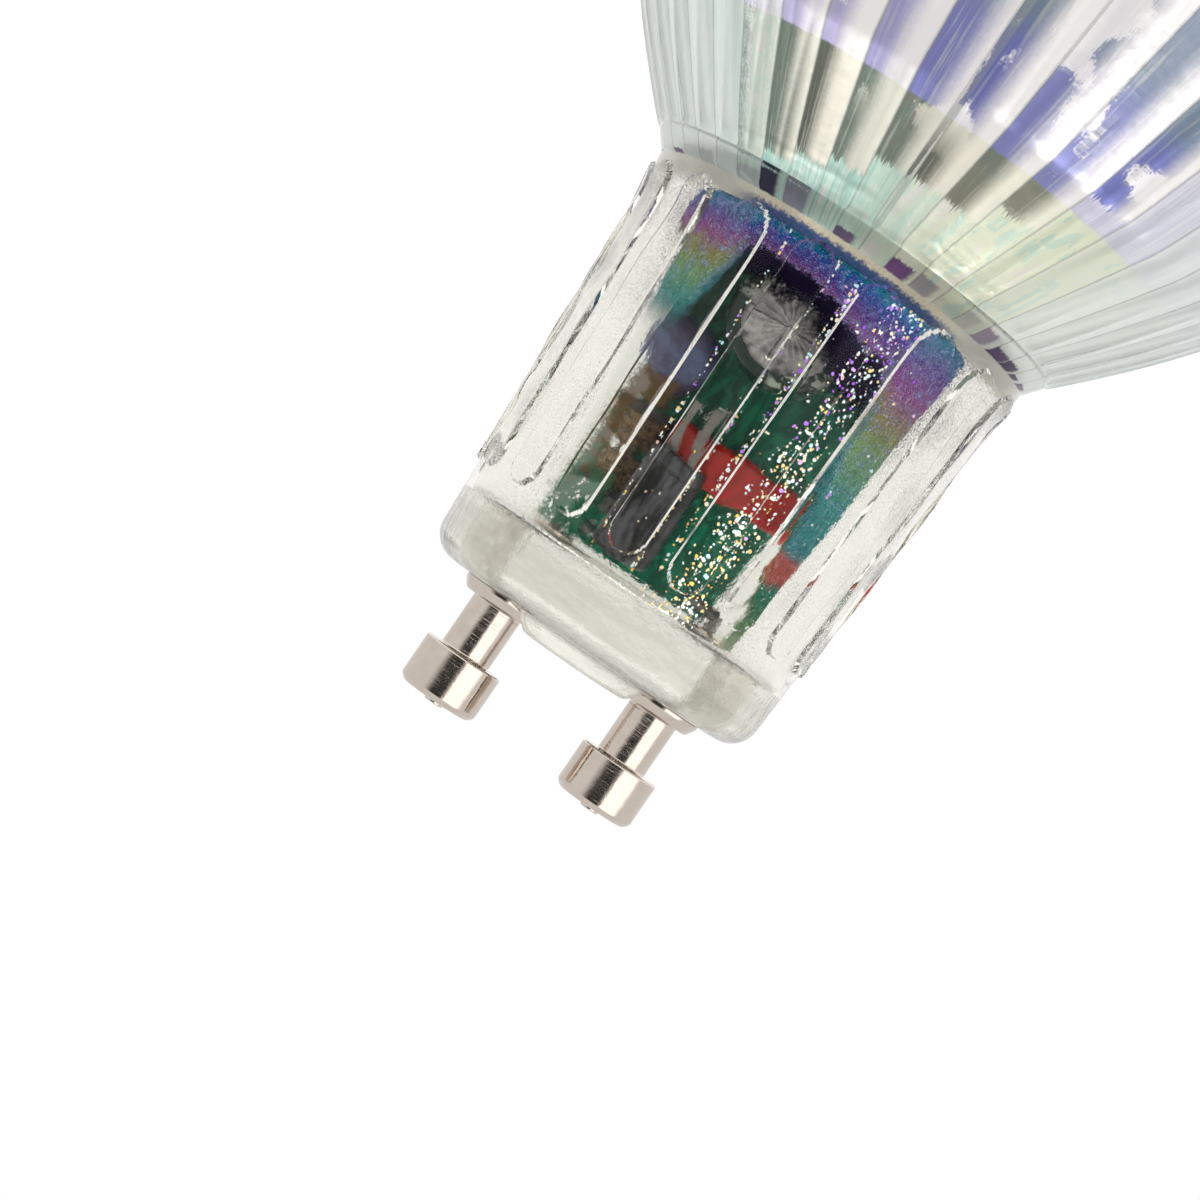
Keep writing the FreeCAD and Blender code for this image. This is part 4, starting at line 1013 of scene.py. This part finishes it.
# %% Dashes, ring and lip
DASH_LEVEL, DASH_SPREAD, DASH_EDGE = 21.9, 0.6, 0.1
RING_LEVELS, LIP_LEVELS = (22.5, 22.7), (23.0, 23.2)
row_foot = DASH_LEVEL - DASH_SPREAD * per_flute(6.0)
row = bowl.between(z + shredded * 0.5, row_foot, row_foot + DASH_EDGE)
dash = row * bowl.between(across + ragged * 0.2 + per_flute(9.0) * 0.5, 0.35, 0.60)
dash = dash * bowl.between(per_flute(7.0), 0.0, 0.7)
ring = bowl.between(z + ragged * 0.5, *RING_LEVELS)
off_side = bowl.between(x.size() + ragged, 4.5, 6.5)
lip = bowl.between(z + ragged * 0.6, *LIP_LEVELS) * (1.0 - off_side)
beige = bowl.mix(streaks, (0.55, 0.50, 0.38), (0.95, 0.88, 0.74))
lip_share = bowl.between(ragged, -0.1, 0.15)
tone = bowl.glazed(
    lined,
    (dash, bowl.mix(per_flute(8.0), (0.03, 0.03, 0.08), (0.24, 0.10, 0.30))),
    (ring, bowl.mix(off_side, beige, (0.90, 0.90, 0.84))),
    (lip, bowl.mix(lip_share, (0.02, 0.10, 0.22), (0.10, 0.10, 0.34))),
)
bowl.show(bowl.skin({
    "Base Color": tone,
    "Metallic": 0.6,
    "Roughness": 0.3,
    "Normal": bowl.bump(bowl.noise(1.5, bowl.where()), 0.02),
}))

# %% [markdown]
# ## The glass takes its place
# The skin and its finishes come together in one piece, which stands for the plain glass solid. The
# finishes are listed in the order in which the patches were numbered. The crease angle is a little
# under the usual one, because glass shows a softened edge at once.

# %% Glass piece
GLASS_CREASE = 35.0
glass_finishes = [
    pressed_glass, wall, bowl, crumpled_glass, foot_glass, frosted_bore, fluted_glass,
]
add_piece("glass_body_pressed", points, faces, glass_finishes, "glass_body",
          kinds, GLASS_CREASE)

# %% [markdown]
# ## The contact pins
# Each pin is a turned and nickel-plated rivet: a broad head that locks into the holder, a post, a
# flange that sits on the glass, and a shank flared over inside the hollow. One rounded outline,
# spun, gives it all. Fine rings from the turning tool are a bump across the axis.

# %% Nickel and pins
nickel = Finish("nickel_plating")
tool_rings = nickel.noise(9.0, nickel.where((0.05, 0.05, 1.0)), 3.0)
smear = nickel.noise(1.2, nickel.where(), 4.0, 0.65)
nickel.show(nickel.skin({
    "Base Color": nickel.mix(smear, (0.56, 0.48, 0.41), (0.72, 0.64, 0.57)),
    "Metallic": 1.0,
    "Roughness": 0.05 + 0.12 * smear,
    "Normal": nickel.bump(tool_rings * 0.4 + smear, 0.012),
}))

PIN_OUTLINE = [
    (0.0, 43.0), (1.3, 43.0), (1.3, 43.35), (1.0, 43.35), (1.0, 47.1), (2.35, 47.1), (2.35, 47.35),
    (2.0, 47.9), (1.45, 47.9), (1.45, 51.0), (2.3, 51.0), (2.3, 53.5), (2.0, 53.8), (0.55, 53.8),
    (0.55, 54.0), (0.0, 54.0),
]
PIN_ROUNDING, PIN_SIDES = 0.12, 128
pin_outline = braced(rounded(PIN_OUTLINE, PIN_ROUNDING, 3))
for side, node in ((-1, "contact_pin_left"), (1, "contact_pin_right")):
    centre = (side * PIN_X, 0, 0)
    add_turned(node + "_turned", pin_outline, PIN_SIDES, centre, nickel, node)

# %% [markdown]
# ## Parts on the driver board
# Behind the neck stand the parts that are seen through the glass. Their places come from the frame,
# and each is made again with what the plain solid lacks: wound turns, a rolled-over sleeve edge,
# a scored vent and the soft edges of dipped lacquer.


# %% Places from the frame
def centre_of(node):
    low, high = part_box(node)
    return np.array((low + high) / 2) / MM, np.array(high - low) / MM


can_centre, can_size = centre_of("capacitor_sleeve")
bulk_centre, bulk_size = centre_of("smoothing_capacitor")
winding_centre, winding_size = centre_of("choke_winding")
film_centre, film_size = centre_of("film_capacitor")
disc_centre, disc_size = centre_of("varistor")
print("storage capacitor at", np.round(can_centre, 2), "mm, red block at", np.round(film_centre, 2))

# %% [markdown]
# ## Shared metals
# Leads, plates and the shield can are bare metal that has dulled in air. A plain metal skin would
# look like chrome, so one clouded noise changes its colour, its roughness and its bump together,
# stretched along the way the sheet was rolled.


# %% Metals
def metal(name, dark, light, rough, stretch=(1.0, 1.0, 1.0), depth=0.01):
    finish = Finish(name)
    cloud = finish.noise(2.0, finish.where(stretch), 4.0, 0.65)
    return finish.show(finish.skin({
        "Base Color": finish.mix(cloud, dark, light),
        "Metallic": 1.0,
        "Roughness": rough + 0.25 * cloud,
        "Normal": finish.bump(cloud, depth),
    }))


tinned = metal("tinned_wire", (0.09, 0.085, 0.08), (0.36, 0.34, 0.32), 0.2)
aluminium = metal("bare_aluminium", (0.55, 0.55, 0.57), (0.80, 0.80, 0.82), 0.3, (1, 1, 6))
tinplate = metal("tin_shield", (0.58, 0.58, 0.58), (0.78, 0.78, 0.77), 0.25, (4, 1, 1))

# %% [markdown]
# ## Shared lacquers, plastics and ceramics
# Dipped lacquer, moulded plastic, rubber and ceramic differ in colour and gloss, and all have a
# soft mottle with a fine grain on it. One recipe with a few numbers makes them all, which keeps
# them of a family under the same light.


# %% Lacquers
def lacquer(name, dark, light, rough, mottling=1.2, depth=0.02):
    finish = Finish(name)
    cloud = finish.noise(mottling, finish.where(), 4.0, 0.6)
    grain = finish.noise(mottling * 8, finish.where(), 2.0)
    return finish.show(finish.skin({
        "Base Color": finish.mix(finish.between(cloud, 0.3, 0.7), dark, light),
        "Roughness": rough + 0.2 * grain,
        "Normal": finish.bump(cloud + 0.3 * grain, depth),
    }))


rubber = lacquer("black_rubber", (0.02, 0.02, 0.02), (0.05, 0.05, 0.05), 0.6)
black_case = lacquer("black_case", (0.006, 0.007, 0.009), (0.11, 0.112, 0.125), 0.3, 0.8, 0.06)
red_dip = lacquer("red_dip", (0.58, 0.004, 0.003), (1.0, 0.022, 0.012), 0.12)
blue_dip = lacquer("blue_dip", (0.09, 0.06, 0.15), (0.14, 0.20, 0.42), 0.2, 0.9)
ferrite = lacquer("dark_ferrite", (0.03, 0.028, 0.026), (0.08, 0.07, 0.065), 0.5)
ceramic = lacquer("tan_ceramic", (0.42, 0.31, 0.19), (0.60, 0.47, 0.32), 0.4)
white_board = lacquer("white_board", (0.74, 0.74, 0.72), (0.86, 0.86, 0.84), 0.35)
phosphor = lacquer("yellow_phosphor", (0.80, 0.58, 0.10), (0.90, 0.72, 0.20), 0.3)
opal = lacquer("opal_cover", (0.84, 0.84, 0.82), (0.90, 0.90, 0.88), 0.45, 0.3)

# %% [markdown]
# ## The green board
# The board is glass cloth under a green lacquer, with copper tracks that show as paler lanes. Drawn
# tracks would need a layout that nobody can see through the glass. Stretched noise, cut into bands,
# gives lanes of an even width, and a finer noise gives the cloth.

# %% Green board
green_board = Finish("green_board")
weave = green_board.noise(3.0, green_board.where((3, 1, 0.6)), 3.0)
lanes = green_board.noise(0.8, green_board.where((1.0, 0.2, 0.35)), 1.0)
tracks = green_board.near(lanes * 6.0 % 1.0 - 0.5, 0.28, 0.34)
mask = green_board.mix(tracks, (0.0, 0.11, 0.06), (0.0, 0.38, 0.20))
green_board.show(green_board.skin({
    "Base Color": green_board.mix(weave * 0.25, mask, (0.02, 0.62, 0.36)),
    "Specular IOR Level": 0.2,
    "Roughness": 0.25 + 0.15 * weave,
    "Normal": green_board.bump(tracks + 0.2 * weave, 0.03),
}))

# %% [markdown]
# ## The sleeve of the storage capacitor
# The capacitor stands on the board with its end towards the viewer. A dark plastic sleeve is shrunk
# over its can, with a pale broken stripe down two sides. The stripe follows the angle round the
# can's own axis, so it needs no unwrapping.

# %% Dark sleeve
dark_sleeve = Finish("dark_sleeve")
x, _, z = dark_sleeve.split(dark_sleeve.where())
around = dark_sleeve.angle(z - can_centre[2], x - can_centre[0])
ticks = dark_sleeve.noise(1.6, dark_sleeve.where((1, 0.15, 1)), 2.0)
stripe = dark_sleeve.near(around - 2.4, 0.75, 0.6) + dark_sleeve.near(around + 0.6, 0.6, 0.5)
stripe = stripe * dark_sleeve.between(ticks, 0.46, 0.54)
dark_sleeve.show(dark_sleeve.skin({
    "Base Color": dark_sleeve.mix(stripe, (0.003, 0.026, 0.022), (0.46, 0.52, 0.46)),
    "Roughness": 0.22 + 0.2 * ticks,
    "Normal": dark_sleeve.bump(ticks, 0.02),
}))

# %% [markdown]
# ## The end of the can
# The can's aluminium end is blotched and scored with a cross, so that it opens safely under
# pressure. The score is too fine for the mesh, so it is a groove in the bump, and faint spokes show
# how the drawn metal stretched.

# %% Scored can top
SPOKES = 23.0
can_top = Finish("scored_can_top")
x, _, z = can_top.split(can_top.where())
u, v = x - can_centre[0], z - can_centre[2]
spokes = can_top.node("ShaderNodeMath", {"operation": "SINE"}, {0: can_top.angle(v, u) * SPOKES})
cross = can_top.near(u, 0.12, 0.04) + can_top.near(v, 0.12, 0.04)
blotch = can_top.noise(1.1, can_top.where(), 5.0, 0.7)
blotched = can_top.between(blotch, 0.3, 0.7) + 0.12 * spokes
can_top.show(can_top.skin({
    "Base Color": can_top.mix(blotched, (0.17, 0.165, 0.175), (0.64, 0.62, 0.64)),
    "Metallic": 0.8,
    "Roughness": 0.35 + 0.2 * blotch,
    "Normal": can_top.bump(blotch + 0.15 * spokes - cross, 0.05),
}))

# %% [markdown]
# ## The shapes of the storage capacitor
# The sleeve rolls over the rim of the can and leaves its dished end bare. Both are spun from
# outlines that start at the board and then laid down to point at the viewer. Their rounded edges
# catch the light that the plain solid's corners would miss.

# %% Sleeve and can
SLEEVE_LAP, SLEEVE_WALL, SLEEVE_FOOT = 0.7, 0.2, 0.4
DISH_DEPTH, LIP_DEPTH = 0.32, 0.15
DISH_INSET, LIP_INSET = 0.9, 0.55
SLEEVE_ROUNDING, CAN_ROUNDING, CAN_SIDES = 0.3, 0.15, 96
can_radius, can_length = can_size[0] / 2, can_size[1]
lap_radius, bare_radius = can_radius - SLEEVE_LAP, can_radius - SLEEVE_WALL
lip_level, dish_level = can_length - LIP_DEPTH, can_length - DISH_DEPTH
sleeve_outline = [
    (lap_radius, lip_level), (lap_radius, can_length), (can_radius, can_length),
    (can_radius, 0.0), (can_radius - SLEEVE_FOOT, 0.0),
]
can_outline = [
    (0.0, dish_level), (can_radius - DISH_INSET, dish_level), (can_radius - LIP_INSET, lip_level),
    (bare_radius, lip_level), (bare_radius, SLEEVE_WALL), (0.0, SLEEVE_WALL),
]
can_foot = can_centre + np.array((0, can_length / 2, 0))
add_turned("capacitor_sleeve_rolled", braced(rounded(sleeve_outline, SLEEVE_ROUNDING)), CAN_SIDES,
           can_foot, dark_sleeve, "capacitor_sleeve", lying=True)
add_turned("capacitor_can_scored", braced(rounded(can_outline, CAN_ROUNDING, 3)), CAN_SIDES,
           can_foot, can_top, "capacitor_can", lying=True)

# %% [markdown]
# ## The smoothing capacitor
# This dark cylinder lies along the board. Its sleeve is crimped into a groove near one end, and its
# skin has long pale streaks along it, partly scuff marks and partly painted highlights, which are
# what tells it from a black hole behind the glass. The groove is in the outline, the streaks are
# stretched noise.

# %% Scuffed sleeve with painted highlights, and its capacitor
black_sleeve = Finish("black_sleeve")
scuffs_and_highlights = black_sleeve.noise(0.9, black_sleeve.where((1, 1, 0.25)), 5.0, 0.7)
scuffed_and_lit = black_sleeve.between(scuffs_and_highlights, 0.38, 0.66)
black_sleeve.show(black_sleeve.skin({
    "Base Color": black_sleeve.mix(scuffed_and_lit, (0.003, 0.003, 0.005), (0.17, 0.175, 0.20)),
    "Roughness": 0.2 + 0.3 * scuffs_and_highlights,
    "Specular IOR Level": 0.3,
    "Normal": black_sleeve.bump(scuffs_and_highlights, 0.08),
}))

FOOT_BEVEL, TOP_BEVEL, BULK_ROUNDING = 0.25, 0.3, 0.3
GROOVE_LEVELS, GROOVE_DEPTH = (0.8, 0.95, 1.1), 0.1
bulk_radius, bulk_half = bulk_size[0] / 2, bulk_size[2] / 2
groove_start, groove_middle, groove_end = (level - bulk_half for level in GROOVE_LEVELS)
bulk_outline = [
    (0.0, -bulk_half), (bulk_radius - FOOT_BEVEL, -bulk_half), (bulk_radius, FOOT_BEVEL - bulk_half),
    (bulk_radius, groove_start), (bulk_radius - GROOVE_DEPTH, groove_middle),
    (bulk_radius, groove_end), (bulk_radius, bulk_half - TOP_BEVEL),
    (bulk_radius - TOP_BEVEL, bulk_half), (0.0, bulk_half),
]
add_turned("smoothing_capacitor_moulded", braced(rounded(bulk_outline, BULK_ROUNDING)), CAN_SIDES,
           bulk_centre, black_sleeve, "smoothing_capacitor")

# %% [markdown]
# ## The choke's winding
# The choke is enamelled copper wire wound on a drum in two sections. A true helix of a hair-thin
# wire would take many faces, and from outside looks the same as a stack of rings, so the outline
# gets one bulge for each turn and is spun.

# %% Enamelled winding
copper_winding = Finish("copper_winding")
strands = copper_winding.noise(7.0, copper_winding.where((0.3, 0.3, 1.0)), 3.0)
strand_share = copper_winding.between(strands, 0.35, 0.65)
copper_winding.show(copper_winding.skin({
    "Base Color": copper_winding.mix(strand_share, (0.05, 0.028, 0.012), (0.40, 0.25, 0.11)),
    "Metallic": 0.35,
    "Roughness": 0.25 + 0.2 * strands,
    "Coat Weight": 0.4,
    "Normal": copper_winding.bump(strands, 0.02),
}))

WIRE_PITCH, WIRE_STEPS = 0.22, np.linspace(0.05, 0.95, 5)
SECTION_GAP_HALF, WINDING_BORE = 0.27, 0.85
WINDING_SIDES, WINDING_CREASE = 72, 70.0
wound_radius, wound_half = winding_size[0] / 2, winding_size[2] / 2
turns_outline = []
for low, high in ((-wound_half, -SECTION_GAP_HALF), (SECTION_GAP_HALF, wound_half)):
    count = int((high - low) / WIRE_PITCH)
    turns_outline.append((WINDING_BORE, low))
    for wind in range(count):
        for share in WIRE_STEPS:
            inward = 0.5 * WIRE_PITCH * (1 - math.sin(math.pi * share))
            level = low + (wind + share) * (high - low) / count
            turns_outline.append((wound_radius - inward, level))
    turns_outline.append((WINDING_BORE, high))
add_turned("choke_winding_turns", turns_outline, WINDING_SIDES, winding_centre, copper_winding,
           "choke_winding", crease=WINDING_CREASE)

# %% [markdown]
# ## The red block
# The red capacitor was dipped in lacquer, which runs off the corners and leaves a soft pillow. A
# bevelled box alone keeps flat sides, so after the bevel its faces are divided and drawn in towards
# the ends by a formula.

# %% Dipped block
DIP_EDGE, DIP_STEPS, DIP_PROFILE, DIP_CUTS = 0.55, 5, 0.6, 3
DIP_SAG, DIP_TAPER, DIP_CREASE = 0.06, 0.05, 80.0


def pillow(centre, size):
    shape = bmesh.new()
    bmesh.ops.create_cube(shape, size=1.0)
    for vertex in shape.verts:
        vertex.co = Vector([c * s for c, s in zip(vertex.co, size)])
    bmesh.ops.bevel(shape, geom=shape.edges[:], offset=DIP_EDGE, segments=DIP_STEPS,
                    profile=DIP_PROFILE, affect="EDGES")
    bmesh.ops.subdivide_edges(shape, edges=shape.edges[:], cuts=DIP_CUTS, use_grid_fill=True)
    for vertex in shape.verts:
        share = [2 * c / s for c, s in zip(vertex.co, size)]
        vertex.co.y *= 1 - DIP_SAG * (share[0] ** 4 + share[2] ** 4)
        vertex.co.z *= 1 - DIP_TAPER * share[0] ** 4
    shape.verts.index_update()
    made = np.array([v.co for v in shape.verts]) + centre
    sides = [[v.index for v in f.verts] for f in shape.faces]
    shape.free()
    return made, sides


film_points, film_faces = pillow(film_centre, film_size)
add_piece("film_capacitor_dipped", film_points, film_faces, [red_dip], "film_capacitor",
          crease=DIP_CREASE)

# %% [markdown]
# ## The blue disc
# The disc beside it was dipped in the same way and is round, so a spun outline with wide roundings
# is enough. It is laid down to face the viewer, as the storage capacitor is.

# %% Dipped disc
DISC_ROUNDING, DISC_SIDES = 0.5, 96
disc_radius, disc_half = disc_size[0] / 2, disc_size[1] / 2
face_radius, edge_half = disc_radius - DISC_ROUNDING, disc_half - DISC_ROUNDING
disc_outline = [
    (0.0, -disc_half), (face_radius, -disc_half), (disc_radius, -edge_half),
    (disc_radius, edge_half), (face_radius, disc_half), (0.0, disc_half),
]
add_turned("varistor_dipped", braced(rounded(disc_outline, DISC_ROUNDING, 5)), DISC_SIDES,
           disc_centre, blue_dip, "varistor", lying=True)

# %% [markdown]
# ## Solids that stay as they are
# The remaining parts are hidden deep in the bulb or are plain in real life too: stamped plates,
# boards, chips and wires. Their CAD shapes are right, so they only get their finishes.

# %% Finishes for the carried-over solids
carried = {
    "driver_board": green_board, "radio_board": green_board, "radio_shield": tinplate,
    "led_board": white_board, "heat_spreader": aluminium, "led_packages": phosphor,
    "front_cover": opal, "choke_core": ferrite, "capacitor_bung": rubber,
    "bridge_rectifier": black_case, "driver_chip": black_case, "driver_chip_legs": tinned,
    "chip_resistors": black_case, "chip_capacitors": ceramic, "lead_wire_left": tinned,
    "lead_wire_right": tinned, "capacitor_leads": tinned, "smoothing_capacitor_leads": tinned,
    "film_capacitor_leads": tinned, "choke_leads": tinned, "varistor_leads": tinned,
}
for node, finish in carried.items():
    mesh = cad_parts[node].data
    mesh.materials.clear()
    mesh.materials.append(finish.material)
print(len(carried), "solids keep their shape")

# %% [markdown]
